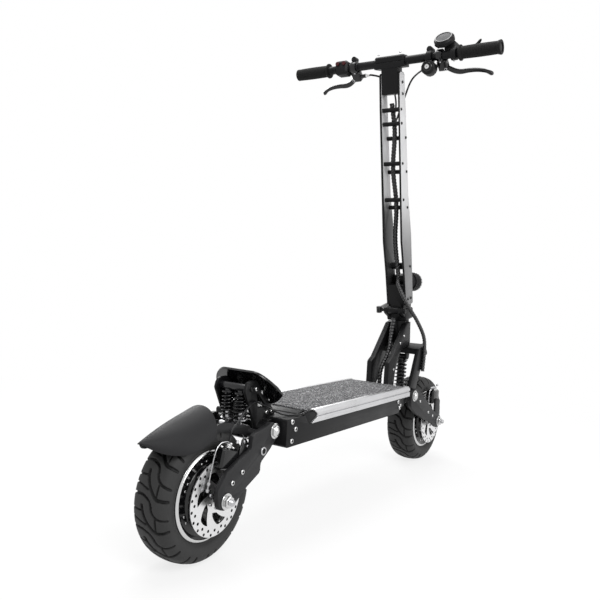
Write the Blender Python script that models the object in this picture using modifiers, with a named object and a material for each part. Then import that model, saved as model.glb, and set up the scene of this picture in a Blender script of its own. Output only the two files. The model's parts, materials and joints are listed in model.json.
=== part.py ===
"""Electric kick scooter: ladder stem that folds, sprung swing arms and two hub motors.

Metres. +X is forward, +Y is the rider's left, +Z is up, and the ground is z = 0.
Shapes are modelled with the rear axle over x = 0, and root_shift then centres the length.
Stem pieces use the steering frame: u forward of the steering axis, y left, s up along it.
"""
import math

import bmesh
import bpy
from mathutils import Matrix, Vector

# Gaps: between seated faces, round a turning pin, and at the shocks' open lower eyes
FIT = 0.0003
TURN = 0.0003
EYE_PLAY = 0.0016

# Wheels
TYRE_DIAMETER = 0.255
TYRE_WIDTH = 0.080
TREAD_FLAT = 0.036
TYRE_FACETS = 32
BEAD_WIDTH = 0.009
WHEELBASE = 1.012
RIM_SEAT = 0.0785
RIM_LIP = 0.006
RIM_HALF = 0.0340
RIM_FLANGE = 0.0032
DRUM_RADIUS = 0.0700
DRUM_HALF = 0.0405
AXLE_RADIUS = 0.0060
AXLE_NUT = 0.0115
AXLE_NUT_DEPTH = 0.0100
AXLE_END = 0.0070
ROTOR_RADIUS = 0.0700
ROTOR_THICK = 0.0020
ROTOR_BAND = 0.0150
ROTOR_BOSS = 0.0230
ROTOR_SEAT = 0.0515
ROTOR_SPOKES = 6
ROTOR_HOLES = 12

# Brake calipers, which straddle the discs over the axles
CALIPER_LENGTH = 0.046
CALIPER_HEIGHT = 0.040
CALIPER_WALL = 0.0080
PAD_GAP = 0.0012
CABLE_ARM = 0.0060
CABLE_STUB = 0.0090
REAR_LEAN = math.radians(14)
TAB_THICK = 0.0060

# Swing arms: both pairs of plates run outside the tyres
ARM_INNER = 0.0680
ARM_THICK = 0.0100
ARM_BOSS = 0.0180
PIVOT_RADIUS = 0.0060
PIVOT_HEAD = 0.0130
PIVOT_HEAD_DEPTH = 0.0080
BRIDGE_RADIUS = 0.0090

# Rear arm, in the rear axle's frame: pivot, shock's top pin and shock's lower eye
REAR_PIVOT = (0.142, 0.234)
REAR_TOP = (0.106, 0.316)
REAR_EYE = (0.108, 0.230)
REAR_SHOCK_SIDE = 0.0165

# Rear shocks
REAR_BODY = 0.0080
REAR_COIL = 0.0112
REAR_WIRE = 0.0018
REAR_TURNS = 6.5

# Front arm, from the front axle: pivot and shock's eye; the top pin hangs under the crown
FRONT_PIVOT = (-0.190, 0.226)
FRONT_TOP_BACK = 0.122
FRONT_TOP_DROP = 0.018
FRONT_EYE = (-0.125, 0.200)
FRONT_BODY = 0.0110
FRONT_COIL = 0.0150
FRONT_WIRE = 0.0022
FRONT_TURNS = 8

# Shock details shared by the front and the rear
SHOCK_PIN = 0.0050
SHOCK_YOKE = 0.0085
SHOCK_ROD = 0.0042
SHOCK_FLANGE = 0.0030
EYE_WALL = 0.0032
SHOCK_TOP_SEAT = 0.0120
SHOCK_LOW_SEAT = 0.0200
SHOCK_STROKE = 0.0150

# Deck
DECK_REAR = 0.162
DECK_BACK = 0.312
DECK_WIDTH = 0.185
DECK_BOTTOM = 0.198
DECK_TOP = 0.2625
TUB_WALL = 0.0030
SIDE_HEIGHT = 0.038
TAIL_HEIGHT = 0.057
RAIL_START = 0.082
RAIL_OVER = 0.046
RAIL_OUT = 0.0040
RAIL_TOP_WIDTH = 0.0140
RAIL_GROOVE = 0.0030
COVER_THICK = 0.0050
MAT_THICK = 0.0030
LEDGE = 0.0080
COVER_OVER = 0.034
BATTERY_HEIGHT = 0.044
CONTROLLER_LENGTH = 0.085
WIRING_SPACE = 0.025
INSIDE_MARGIN = 0.010

# Tail frame and kicktail
TAIL_PLATE_IN = 0.0340
TAIL_PLATE = 0.0060
KICK_HALF = 0.079
KICK_THICK = 0.0050
KICK_LIFT = 0.006

# Steering head and fork
RAKE = math.radians(11.5)
HEAD_BACK = 0.156
HEAD_HEIGHT = 0.469
HEAD_TUBE = 0.0260
HEAD_TUBE_LENGTH = 0.078
STEERER = 0.0165
NECK_IN = 0.0200
NECK_PLATE = 0.0140
NECK_BLOCK_HALF = 0.070
CROWN_THICK = 0.0170
CROWN_SWEEP = 0.0740
FORK_IN = 0.0575
FORK_THICK = 0.0100

# Folding joint at the rear of the stem's foot
FOLD_PIN = 0.0050
FOLD_KNUCKLE = 0.0100
FOLD_BACK = 0.0360
KNUCKLE_HALF = 0.0165
BASE_HALF = 0.0300
BASE_DEPTH = 0.0320

# Ladder stem
STEM_PLATE_IN = 0.0242
STEM_PLATE = 0.0060
STEM_TOP = 0.655
FOOT_TOP = 0.072
SPACER_RADIUS = 0.0060
REAR_SPACERS = (0.314, 0.413, 0.520, 0.557)
FRONT_SPACERS = (0.291, 0.390, 0.482)
LOW_SPACER = 0.122
REAR_RUNG = -0.0220
FRONT_RUNG = 0.0025
LOW_RUNG = 0.0120
LOW_SPACER_RADIUS = 0.0100

# Handlebar and controls; each control is set in from the start of its grip
BAR_S = 0.682
BAR_U = -0.0105
BAR_DIAMETER = 0.0222
BAR_HALF = 0.300
GRIP_RADIUS = 0.0160
GRIP_LENGTH = 0.107
CLAMP_HALF = 0.044
RING_WALL = 0.0055
RING_WIDTH = 0.014
LEFT_PERCH_INSET = 0.081
RIGHT_PERCH_INSET = 0.053
LEVER_DROP = math.radians(46)
LEVER_PIVOT = 0.034
LEVER_REACH = 0.062
LEVER_LENGTH = 0.120
LEVER_THICK = 0.0090
BARREL_BACK = 0.0060
BARREL_END = 0.0260
SWITCH_INSET = 0.045
SWITCH_WIDTH = 0.040
SWITCH_SIZE = 0.038
BUTTON_RADIUS = 0.0055
BUTTON_OUT = 0.0035
BUTTON_IN = 0.0040
BUTTON_TRAVEL = 0.0020
BUTTON_RISE = 0.0100
DISPLAY_INSET = 0.043
DISPLAY_RADIUS = 0.027
DISPLAY_DEPTH = 0.018
DISPLAY_RISE = 0.036
DISPLAY_TILT = math.radians(50)
TRIGGER_INSET = 0.026
TRIGGER_RING_INSET = 0.015
TRIGGER_LENGTH = 0.074
LOCK_INSET = 0.081
LOCK_RADIUS = 0.019
LOCK_DEPTH = 0.024
LAMP_RADIUS = 0.028
LAMP_LENGTH = 0.070

# Fenders, kickstand and cables
FENDER_HALF = 0.0500
FENDER_SHEET = 0.0025
FENDER_STAY = 0.0395
STAY_THICK = 0.0035
FENDER_OVERHANG = 0.150
STAND_LENGTH = 0.180
STAND_RADIUS = 0.0070
STAND_PIN = 0.0040
STAND_BACK = 0.180
STAND_INSET = 0.0145
TRUNK = 0.0058
CABLE = 0.0026

TYRE_R = TYRE_DIAMETER / 2
BAR_R = BAR_DIAMETER / 2
BAR_BORE = (BAR_R + FIT) / math.cos(math.pi / 16)
ARM_OUTER = ARM_INNER + ARM_THICK
DECK_FRONT = WHEELBASE - DECK_BACK
DECK_HALF = DECK_WIDTH / 2
STAND_AT = (DECK_FRONT - STAND_BACK, DECK_HALF - STAND_INSET)
HEAD_POINT = (WHEELBASE - HEAD_BACK, HEAD_HEIGHT)
GRIP_START = BAR_HALF - GRIP_LENGTH
LEFT_PERCH = GRIP_START - LEFT_PERCH_INSET
RIGHT_PERCH = RIGHT_PERCH_INSET - GRIP_START
SWITCH_AT = GRIP_START - SWITCH_INSET
DISPLAY_AT = DISPLAY_INSET - GRIP_START
TRIGGER_AT = TRIGGER_INSET - GRIP_START
TRIGGER_RING = TRIGGER_RING_INSET - GRIP_START
LOCK_AT = LOCK_INSET - GRIP_START
RIM_TOP = RIM_SEAT + RIM_LIP
SIDE_TOP = DECK_BOTTOM + SIDE_HEIGHT
TAIL_TOP = DECK_BOTTOM + TAIL_HEIGHT
COVER_TOP = DECK_TOP - MAT_THICK - FIT
COVER_LOW = COVER_TOP - COVER_THICK
RAIL_IN = DECK_HALF + RAIL_OUT - RAIL_TOP_WIDTH
COVER_HALF = RAIL_IN - FIT
HEAD_LOW = -BASE_DEPTH - FIT - HEAD_TUBE_LENGTH
CROWN_TOP = HEAD_LOW - FIT
CROWN_LOW = CROWN_TOP - CROWN_THICK
root_shift = (FENDER_OVERHANG - WHEELBASE - TYRE_R) / 2
STEM = Matrix.Translation((HEAD_POINT[0], 0, HEAD_POINT[1])) @ Matrix.Rotation(-RAKE, 4, "Y")
WORLD = Matrix.Identity(4)

FINISHES = {
    "black_frame": ((0.012, 0.012, 0.013), 0.38, 0.6),
    "black_paint": ((0.016, 0.016, 0.017), 0.32, 0.1),
    "black_plastic": ((0.014, 0.014, 0.015), 0.5, 0.0),
    "fender_plastic": ((0.05, 0.05, 0.052), 0.55, 0.0),
    "rubber": ((0.018, 0.018, 0.018), 0.85, 0.0),
    "grip_mat": ((0.11, 0.11, 0.115), 0.95, 0.0),
    "silver": ((0.62, 0.62, 0.63), 0.3, 1.0),
    "steel": ((0.5, 0.5, 0.51), 0.35, 1.0),
    "bolt_steel": ((0.7, 0.7, 0.7), 0.25, 1.0),
    "red_plastic": ((0.35, 0.02, 0.02), 0.4, 0.0),
    "battery_wrap": ((0.02, 0.05, 0.16), 0.5, 0.0),
}

for item in list(bpy.data.objects):
    bpy.data.objects.remove(item, do_unlink=True)
scooter = bpy.data.collections.new("electric_kick_scooter")
workshop = bpy.data.collections.new("cutters")
bpy.context.scene.collection.children.link(scooter)
bpy.context.scene.collection.children.link(workshop)


def make_material(name):
    """Give one finish as a Principled material."""
    colour, roughness, metallic = FINISHES[name]
    material = bpy.data.materials.new(name)
    material.use_nodes = True
    shader = material.node_tree.nodes["Principled BSDF"]
    shader.inputs["Base Color"].default_value = (*colour, 1)
    shader.inputs["Roughness"].default_value = roughness
    shader.inputs["Metallic"].default_value = metallic
    return material


MATERIALS = {name: make_material(name) for name in FINISHES}


def shape_from(bm, frame=WORLD):
    """Turn a bmesh into a workshop object whose vertices lie in world space."""
    bm.transform(frame)
    mesh = bpy.data.meshes.new("shape")
    bm.to_mesh(mesh)
    bm.free()
    shape = bpy.data.objects.new("shape", mesh)
    workshop.objects.link(shape)
    return shape


def bake(shape):
    """Apply what a shape evaluates to, with doubles welded and faces turned out."""
    bpy.context.view_layer.update()
    graph = bpy.context.evaluated_depsgraph_get()
    mesh = bpy.data.meshes.new_from_object(shape.evaluated_get(graph))
    place = shape.matrix_world.copy()
    bpy.data.objects.remove(shape, do_unlink=True)
    bm = bmesh.new()
    bm.from_mesh(mesh)
    bpy.data.meshes.remove(mesh)
    bmesh.ops.remove_doubles(bm, verts=bm.verts, dist=0.00001)
    bmesh.ops.dissolve_degenerate(bm, edges=bm.edges, dist=0.000005)
    bmesh.ops.recalc_face_normals(bm, faces=bm.faces)
    return shape_from(bm, place)


def combine(shape, others, operation):
    """Join or cut shapes with Boolean modifiers, then bake the result."""
    for other in others:
        modifier = shape.modifiers.new(operation.lower(), "BOOLEAN")
        modifier.operation = operation
        modifier.object = other
        other.hide_render = True
        other.display_type = "WIRE"
    result = bake(shape)
    for other in others:
        bpy.data.objects.remove(other, do_unlink=True)
    return result


def fuse(shape, *others):
    """Weld shapes into one body."""
    return combine(shape, others, "UNION")


def cut(shape, *others):
    """Take shapes out of a body."""
    return combine(shape, others, "DIFFERENCE")


def block(x, y, z, frame=WORLD):
    """A box between pairs of limits."""
    bm = bmesh.new()
    bmesh.ops.create_cube(bm, size=1)
    size = Matrix.Diagonal((x[1] - x[0], y[1] - y[0], z[1] - z[0], 1))
    middle = Matrix.Translation(((x[0] + x[1]) / 2, (y[0] + y[1]) / 2, (z[0] + z[1]) / 2))
    bm.transform(middle @ size)
    return shape_from(bm, frame)


def soften(shape, width, segments=1):
    """Round a block's edges with a Bevel modifier."""
    modifier = shape.modifiers.new("edges", "BEVEL")
    modifier.width = width
    modifier.segments = segments
    modifier.limit_method = "ANGLE"
    return bake(shape)


def rod(start, end, radius, sides=12, frame=WORLD):
    """A solid round bar between two points."""
    start, end = Vector(start), Vector(end)
    bm = bmesh.new()
    bmesh.ops.create_cone(
        bm, cap_ends=True, segments=sides, radius1=radius, radius2=radius,
        depth=(end - start).length)
    turn = Vector((0, 0, 1)).rotation_difference(end - start).to_matrix().to_4x4()
    bm.transform(Matrix.Translation((start + end) / 2) @ turn)
    return shape_from(bm, frame)


def cross_rod(x, z, half, radius, sides=12, frame=WORLD):
    """A round bar across the scooter, from the right to the left."""
    return rod((x, -half, z), (x, half, z), radius, sides, frame)


def turned(profile, steps, closed, frame=WORLD):
    """Spin a profile of (radius, height) points about local Z with a Screw modifier."""
    bm = bmesh.new()
    verts = [bm.verts.new((radius, 0, height)) for radius, height in profile]
    for first, second in zip(verts, verts[1:]):
        bm.edges.new((first, second))
    if closed:
        bm.edges.new((verts[-1], verts[0]))
    shape = shape_from(bm)
    modifier = shape.modifiers.new("turn", "SCREW")
    modifier.steps = steps
    modifier.render_steps = steps
    modifier.use_merge_vertices = True
    modifier.merge_threshold = 0.00001
    shape.matrix_world = frame
    return bake(shape)


def rounded(corners, steps=2):
    """Points of an outline given as corners (x, z, radius), each corner as an arc."""
    small = 0.0065
    points = []
    count = len(corners)
    for index, (x, z, radius) in enumerate(corners):
        here = Vector((x, z))
        back = Vector(corners[index - 1][:2]) - here
        ahead = Vector(corners[(index + 1) % count][:2]) - here
        if radius == 0:
            points.append(here)
            continue
        half = back.angle(ahead) / 2
        reach = min(radius / math.tan(half), 0.49 * back.length, 0.49 * ahead.length)
        radius = reach * math.tan(half)
        middle = here + (back.normalized() + ahead.normalized()).normalized() * radius / math.sin(half)
        first = here + back.normalized() * reach - middle
        last = here + ahead.normalized() * reach - middle
        sweep = first.angle_signed(last)
        parts = steps if radius > small else 1
        for step in range(parts + 1):
            turn = Matrix.Rotation(-sweep * step / parts, 2)
            points.append(middle + turn @ first)
    return points


def circle(x, z, radius, sides):
    """Points of a round hole in an outline."""
    turn = math.tau / sides
    return [Vector((x + radius * math.cos(turn * i), z + radius * math.sin(turn * i)))
            for i in range(sides)]


def plate(outline, low, high, holes=(), frame=WORLD):
    """A flat plate in the x-z plane, between two places across the scooter."""
    curve = bpy.data.curves.new("outline", "CURVE")
    curve.dimensions = "2D"
    curve.fill_mode = "BOTH"
    curve.extrude = (high - low) / 2
    for loop in (outline, *holes):
        spline = curve.splines.new("POLY")
        spline.points.add(len(loop) - 1)
        for point, place in zip(spline.points, loop):
            point.co = (place[0], place[1], 0, 1)
        spline.use_cyclic_u = True
    shape = bpy.data.objects.new("outline", curve)
    workshop.objects.link(shape)
    upright = Matrix.Rotation(math.radians(90), 4, "X")
    shape.matrix_world = frame @ Matrix.Translation((0, (low + high) / 2, 0)) @ upright
    return bake(shape)


def smooth_route(points, spacing):
    """Points of a smooth curve through a route's own points, about one spacing apart."""
    points = [Vector(point) for point in points]
    route = [2 * points[0] - points[1], *points, 2 * points[-1] - points[-2]]
    path = []
    for a, b, c, d in zip(route, route[1:], route[2:], route[3:]):
        t1 = (b - a).length ** 0.5
        t2 = t1 + (c - b).length ** 0.5
        t3 = t2 + (d - c).length ** 0.5
        steps = max(1, round((c - b).length / spacing))
        for step in range(steps):
            t = t1 + (t2 - t1) * step / steps
            first = a.lerp(b, t / t1)
            second = b.lerp(c, (t - t1) / (t2 - t1))
            third = c.lerp(d, (t - t2) / (t3 - t2))
            early = first.lerp(second, t / t2)
            late = second.lerp(third, (t - t1) / (t3 - t1))
            path.append(early.lerp(late, (t - t1) / (t2 - t1)))
    return [*path, points[-1]]


def tube(path, radius, resolution, frame=WORLD):
    """A solid tube along a path, as a bevelled curve with filled ends."""
    curve = bpy.data.curves.new("tube", "CURVE")
    curve.dimensions = "3D"
    curve.bevel_depth = radius
    curve.bevel_resolution = resolution
    curve.use_fill_caps = True
    spline = curve.splines.new("POLY")
    spline.points.add(len(path) - 1)
    for point, place in zip(spline.points, path):
        point.co = (*place, 1)
    shape = bpy.data.objects.new("tube", curve)
    workshop.objects.link(shape)
    shape.matrix_world = frame
    return bake(shape)


def sheet(rows, thickness):
    """A thin shell: a grid of points given thickness with Solidify, inwards."""
    bm = bmesh.new()
    grid = [[bm.verts.new(point) for point in row] for row in rows]
    for upper, lower in zip(grid, grid[1:]):
        for a, b, c, d in zip(upper, upper[1:], lower[1:], lower):
            bm.faces.new((a, b, c, d))
    bmesh.ops.recalc_face_normals(bm, faces=bm.faces)
    if sum(face.normal.z for face in bm.faces) < 0:
        bmesh.ops.reverse_faces(bm, faces=bm.faces)
    shape = shape_from(bm)
    modifier = shape.modifiers.new("thickness", "SOLIDIFY")
    modifier.thickness = thickness
    modifier.offset = -1
    return bake(shape)


def joint_empty(name, place):
    """An empty on a moving body's joint axis, in the steering frame or the world."""
    empty = bpy.data.objects.new(name, None)
    empty.empty_display_size = 0.03
    scooter.objects.link(empty)
    empty.matrix_world = Matrix.Translation((root_shift, 0, 0)) @ place
    return empty


def part(name, shape, finish, carrier):
    """Name a finished shape, give it its finish and hang it on its carrier's empty."""
    workshop.objects.unlink(shape)
    scooter.objects.link(shape)
    shape.name = name
    shape.data.name = name
    shape.data.transform(carrier.matrix_world.inverted() @ Matrix.Translation((root_shift, 0, 0)))
    shape.parent = carrier
    shape.data.materials.clear()
    shape.data.materials.append(MATERIALS[finish])
    shape.data.shade_smooth()
    shape.data.set_sharp_from_angle(angle=math.radians(35))
    return shape


def at(x, z, y=0):
    """A place on a joint axis, with the world's directions."""
    return Matrix.Translation((x, y, z))


FRONT_X = WHEELBASE
F_PIVOT = (FRONT_X + FRONT_PIVOT[0], FRONT_PIVOT[1])
F_TOP = (FRONT_X - FRONT_TOP_BACK, (STEM @ Vector((0, 0, CROWN_LOW))).z - FRONT_TOP_DROP)
F_EYE = (FRONT_X + FRONT_EYE[0], FRONT_EYE[1])
BAR = STEM @ Matrix.Translation((BAR_U, 0, BAR_S)) @ Matrix.Rotation(RAKE, 4, "Y")
LEVER = BAR @ Matrix.Rotation(LEVER_DROP, 4, "Y")
LEVER_OUT = 0.010

deck = joint_empty("deck_body", WORLD)
rear_arm = joint_empty("rear_arm_body", at(*REAR_PIVOT))
rear_wheel = joint_empty("rear_wheel_body", at(0, TYRE_R))
rear_damper = joint_empty("rear_damper_body", at(*REAR_TOP))
rear_rods = joint_empty("rear_rods_body", at(*REAR_EYE))
fork_body = joint_empty("fork_body", STEM)
front_arm = joint_empty("front_arm_body", at(*F_PIVOT))
front_wheel = joint_empty("front_wheel_body", at(FRONT_X, TYRE_R))
front_damper = joint_empty("front_damper_body", at(*F_TOP))
front_rods = joint_empty("front_rod_body", at(*F_EYE))
stem_body = joint_empty("stem_body", STEM @ Matrix.Translation((-FOLD_BACK, 0, 0)))
stand_body = joint_empty("stand_body", at(STAND_AT[0], DECK_BOTTOM - STAND_RADIUS - 0.004, STAND_AT[1]))


def tyre(axle_x):
    """A tubeless tyre with round shoulders and a flat crown, standing on one facet."""
    bead = RIM_HALF - RIM_FLANGE - FIT
    flats = math.cos(math.pi / TYRE_FACETS)
    seat = (RIM_SEAT + FIT) / flats
    half = TYRE_WIDTH / 2
    wall = TYRE_R - seat
    side = [(seat, bead), ((RIM_TOP + FIT) / flats, bead), (seat + 0.5 * wall, half),
            (seat + 0.78 * wall, 0.90 * half), (seat + 0.94 * wall, 0.68 * half), (TYRE_R, TREAD_FLAT / 2)]
    inside = [(seat, bead - BEAD_WIDTH), (seat + 0.72 * wall, 0.62 * half)]
    outer = side + [(radius, -height) for radius, height in reversed(side)]
    hollow = [(radius, -height) for radius, height in inside] + list(reversed(inside))
    stand = Matrix.Rotation(math.pi / TYRE_FACETS - math.radians(90), 4, "Z")
    spin = at(axle_x, TYRE_R) @ Matrix.Rotation(math.radians(90), 4, "X")
    return turned(outer + hollow, TYRE_FACETS, True, spin @ stand)


def hub_motor(axle_x):
    """The rim and the finned motor drum in one casting, bored for the axle."""
    inner = RIM_SEAT - 0.006
    fin = DRUM_RADIUS - 0.010
    right = [(AXLE_RADIUS + TURN, ROTOR_SEAT), (ROTOR_BOSS, ROTOR_SEAT),
             (ROTOR_BOSS, DRUM_HALF), (fin, DRUM_HALF),
             (fin + 0.002, DRUM_HALF - 0.006), (inner, DRUM_HALF - 0.010),
             (RIM_TOP, RIM_HALF), (RIM_TOP, RIM_HALF - RIM_FLANGE),
             (RIM_SEAT, RIM_HALF - RIM_FLANGE)]
    left = [(radius, -height) for radius, height in reversed(right)]
    spin = at(axle_x, TYRE_R) @ Matrix.Rotation(math.radians(90), 4, "X")
    return turned(right + left, 20, True, spin)


def rotor(axle_x):
    """A brake disc with swept spokes and two rings of holes."""
    outline = circle(0, 0, ROTOR_RADIUS, 32)
    holes = [circle(0, 0, AXLE_RADIUS + 0.004, 10)]
    rim = ROTOR_RADIUS - ROTOR_BAND
    hub = ROTOR_BOSS + 0.002
    step = math.tau / ROTOR_SPOKES
    for spoke in range(ROTOR_SPOKES):
        start = spoke * step
        inner = [(hub, start + share * step) for share in (0.2, 0.8)]
        outer = [(rim, start + share * step) for share in (1.14, 0.77, 0.4)]
        holes.append([(radius * math.cos(a), radius * math.sin(a)) for radius, a in inner + outer])
    for index in range(ROTOR_HOLES):
        angle = math.tau * index / ROTOR_HOLES
        place = rim + ROTOR_BAND * (0.35 if index % 2 else 0.65)
        holes.append(circle(place * math.cos(angle), place * math.sin(angle), 0.0022, 5))
    outside = -ROTOR_SEAT - FIT
    return plate(outline, outside - ROTOR_THICK, outside, holes, at(axle_x, TYRE_R))


def axle(axle_x):
    """The fixed axle with a hexagon nut outside each arm."""
    seat = ARM_OUTER + FIT
    end = seat + AXLE_NUT_DEPTH
    shaft = cross_rod(axle_x, TYRE_R, end + AXLE_END, AXLE_RADIUS, 12)
    right = rod((axle_x, -end, TYRE_R), (axle_x, -seat, TYRE_R), AXLE_NUT, 6)
    left = rod((axle_x, seat, TYRE_R), (axle_x, end, TYRE_R), AXLE_NUT, 6)
    return fuse(shaft, right, left)


def caliper(axle_x, lean):
    """A brake caliper on the inside of the right arm, slotted for the disc."""
    disc = ROTOR_SEAT + FIT
    outer = ARM_INNER - FIT
    inner = disc - PAD_GAP - CALIPER_WALL
    low = ROTOR_RADIUS - ROTOR_BAND - 0.002
    half = CALIPER_LENGTH / 2
    tilt = at(axle_x, TYRE_R) @ Matrix.Rotation(lean, 4, "Y")
    body = soften(block((-half, half), (-outer, -inner), (low, low + CALIPER_HEIGHT), tilt), 0.004)
    slot = (low - 0.01, ROTOR_RADIUS + 0.002)
    gap = block((-half - 0.01, half + 0.01),
                (-disc - ROTOR_THICK - PAD_GAP, -disc + PAD_GAP), slot, tilt)
    body = cut(body, gap)
    top = low + CALIPER_HEIGHT
    inset = CABLE_ARM - outer
    lever = rod((-CABLE_ARM, inset, top - 0.003), (-CABLE_ARM, inset, top + CABLE_STUB), 0.005, 10, tilt)
    return fuse(body, lever)


def tail_frame():
    """Two truss plates, the pivot tube, the shocks' top pin and the block behind the deck."""
    x, z = REAR_TOP
    px, pz = REAR_PIVOT
    face = DECK_REAR - FIT
    seat = TAIL_TOP + FIT
    front = x + 0.086
    outline = rounded([
        (x - 0.018, z - 0.004, 0.004), (x - 0.012, z + 0.016, 0.016), (x + 0.020, z + 0.016, 0.006),
        (front, seat + 0.004, 0), (front, seat, 0), (face, seat, 0), (face, pz - 0.030, 0),
        (px - 0.012, pz - 0.022, 0.012), (px - 0.019, pz + 0.010, 0.010)])
    window = rounded([(x + 0.020, z - 0.006, 0.002), (x + 0.053, z - 0.040, 0.002),
                      (x + 0.027, z - 0.040, 0.002)], 2)
    inner, outer = TAIL_PLATE_IN, TAIL_PLATE_IN + TAIL_PLATE
    frame = fuse(
        plate(outline, -outer, -inner, [window]), plate(outline, inner, outer, [window]),
        cross_rod(px, pz, ARM_INNER - FIT, ARM_BOSS - 0.004, 14),
        cross_rod(x, z, outer + 0.004, SHOCK_PIN, 10),
        block((px + 0.004, face), (-outer - 0.016, outer + 0.016), (pz - 0.026, seat - 0.004)))
    return cut(frame, cross_rod(px, pz, ARM_OUTER, PIVOT_RADIUS + TURN, 12))


def kicktail():
    """A winged foot rest that lies on the truss plates' slanted edges."""
    x, z = REAR_TOP
    low = Vector((x + 0.086, 0, TAIL_TOP + FIT + 0.004))
    high = Vector((x + 0.020, 0, z + 0.016))
    slope = (high - low).normalized()
    normal = Vector((-slope.z, 0, slope.x))
    normal = normal if normal.z > 0 else -normal
    flat = TAIL_PLATE_IN + TAIL_PLATE - 0.005
    length = (high - low).length + 0.0206
    rows = []
    for row in range(5):
        share = row / 4
        line = []
        for column in range(-9, 10):
            y = KICK_HALF * math.sin(column / 9 * math.pi / 2)
            past = max(0, (abs(y) - flat) / (KICK_HALF - flat)) ** 2
            start = 0.026 + 0.025 * past
            along = start + (length - start - 0.040 * past) * share
            place = low + slope * along + normal * (KICK_THICK + FIT)
            line.append(place + Vector((0, y, KICK_LIFT * past * (1 - share))))
        rows.append(line)
    return sheet(rows, KICK_THICK)


def pivot_bolt(x, z):
    """A through bolt with a hexagon head outside each arm."""
    seat = ARM_OUTER + FIT
    end = seat + PIVOT_HEAD_DEPTH
    shaft = cross_rod(x, z, end, PIVOT_RADIUS, 12)
    right = rod((x, -end, z), (x, -seat, z), PIVOT_HEAD, 6)
    left = rod((x, seat, z), (x, end, z), PIVOT_HEAD, 6)
    return fuse(shaft, right, left)


def rear_swingarm():
    """Two rear plates joined by the bridge that carries the shocks and the fender."""
    px, pz = REAR_PIVOT
    outline = rounded([
        (-0.020, TYRE_R - 0.016, 0.014), (-0.026, TYRE_R + 0.024, 0.008), (-0.002, TYRE_R + 0.052, 0.010),
        (px - 0.074, pz - 0.024, 0.008), (px - 0.072, pz + 0.002, 0.012), (px - 0.004, pz + 0.020, 0.018),
        (px + 0.018, pz - 0.004, 0.017), (px - 0.014, pz - 0.034, 0.012), (px - 0.043, pz - 0.055, 0.010),
        (px - 0.043, pz - 0.073, 0.006), (0.058, TYRE_R + 0.013, 0.020), (0.020, TYRE_R - 0.014, 0.014)])
    holes = [circle(0, TYRE_R, AXLE_RADIUS + TURN, 12), circle(px, pz, PIVOT_RADIUS + TURN, 12)]
    stay_in, stay_out = FENDER_STAY - STAY_THICK, FENDER_STAY
    x, z = REAR_EYE
    stay = rounded([(x + 0.010, z - 0.008, 0.004), (x + 0.006, z + 0.011, 0.006), (0.030, z + 0.031, 0.006),
                    (-0.016, z + 0.027, 0.004), (-0.016, z + 0.015, 0.004), (0.028, z + 0.014, 0.010)])
    arm = plate(outline, -ARM_OUTER, -ARM_INNER, holes)
    return fuse(
        arm, plate(outline, ARM_INNER, ARM_OUTER, holes),
        cross_rod(x, z, ARM_INNER + 0.004, BRIDGE_RADIUS, 12),
        plate(stay, -stay_out, -stay_in), plate(stay, stay_in, stay_out))


def fender(tip_x, tip_z, root_x, root_z, half, depth, sweep):
    """A moulded fender: an arched sheet that runs out to a low central tip."""
    rows = []
    for station in range(7):
        share = station / 6
        width = half * (1 - max(0, share - 0.25) ** 2 / 0.75 ** 2 * 0.85)
        drop = depth * (1 - share ** 3 * 0.85)
        ridge = root_z + (tip_z - root_z) * share
        line = []
        for column in range(-6, 7):
            lean = column / 6 * math.pi / 2
            fall = 1 - math.cos(lean)
            back = (root_x - tip_x) * fall * (sweep - (sweep + 0.04) * share)
            x = root_x + (tip_x - root_x) * share - back
            line.append((x, width * math.sin(lean), ridge - drop * fall))
        rows.append(line)
    return sheet(rows, FENDER_SHEET)


def rear_fender():
    """The long rear fender, with a lug inside each wall that bolts to the arm's stays."""
    shell = fender(-FENDER_OVERHANG, TYRE_R + 0.118, 0.008, TYRE_R + 0.1635,
                   FENDER_HALF, 0.055, 0.07)
    low = FENDER_STAY + FIT
    reach = (TYRE_R + 0.1115, TYRE_R + 0.1255)
    lugs = [block((-0.016, 0), sorted((side * low, side * (low + 0.0062))), reach) for side in (-1, 1)]
    return fuse(shell, *lugs)


def shock(top, eye, side, body_radius, coil, wire, turns, stroke):
    """One shock as three shapes: the damper body, the rod with its eye, and the spring."""
    top = Vector((top[0], side, top[1]))
    eye = Vector((eye[0], side, eye[1]))
    axis = (eye - top).normalized()
    length = (eye - top).length
    flange = coil + wire + 0.0012
    low_seat = length - SHOCK_LOW_SEAT
    body_end = low_seat - SHOCK_FLANGE - stroke
    bore_end = body_end - stroke - 0.010

    def along(distance):
        return top + axis * distance

    body = fuse(rod(along(SHOCK_YOKE * 0.6), along(body_end), body_radius),
                rod(along(SHOCK_TOP_SEAT - SHOCK_FLANGE), along(SHOCK_TOP_SEAT), flange, 14))
    body = cut(body, rod(along(bore_end), along(body_end + 0.01), SHOCK_ROD + TURN, 10))
    shaft = fuse(rod(along(body_end - 0.008), along(length - BRIDGE_RADIUS - EYE_PLAY - EYE_WALL / 2),
                     SHOCK_ROD, 10),
                 rod(along(low_seat - SHOCK_FLANGE), along(low_seat), flange, 14))
    start = SHOCK_TOP_SEAT + wire + FIT
    end = low_seat - SHOCK_FLANGE - wire - FIT
    across = Vector((0, 1, 0))
    aside = axis.cross(across)
    steps = round(8 * turns)
    path = []
    for step in range(steps + 1):
        angle = math.tau * turns * step / steps
        path.append(along(start + (end - start) * step / steps)
                    + (across * math.cos(angle) + aside * math.sin(angle)) * coil)
    pitch_gap = (end - start) / turns - 2 * wire
    print("least gap between spring turns, mm:", round(1000 * pitch_gap, 2))
    return body, shaft, tube(path, wire, 1)


def yoke(place, half):
    """The sleeve that joins damper bodies on their pin."""
    return cross_rod(*place, half, SHOCK_YOKE, 12)


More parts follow.
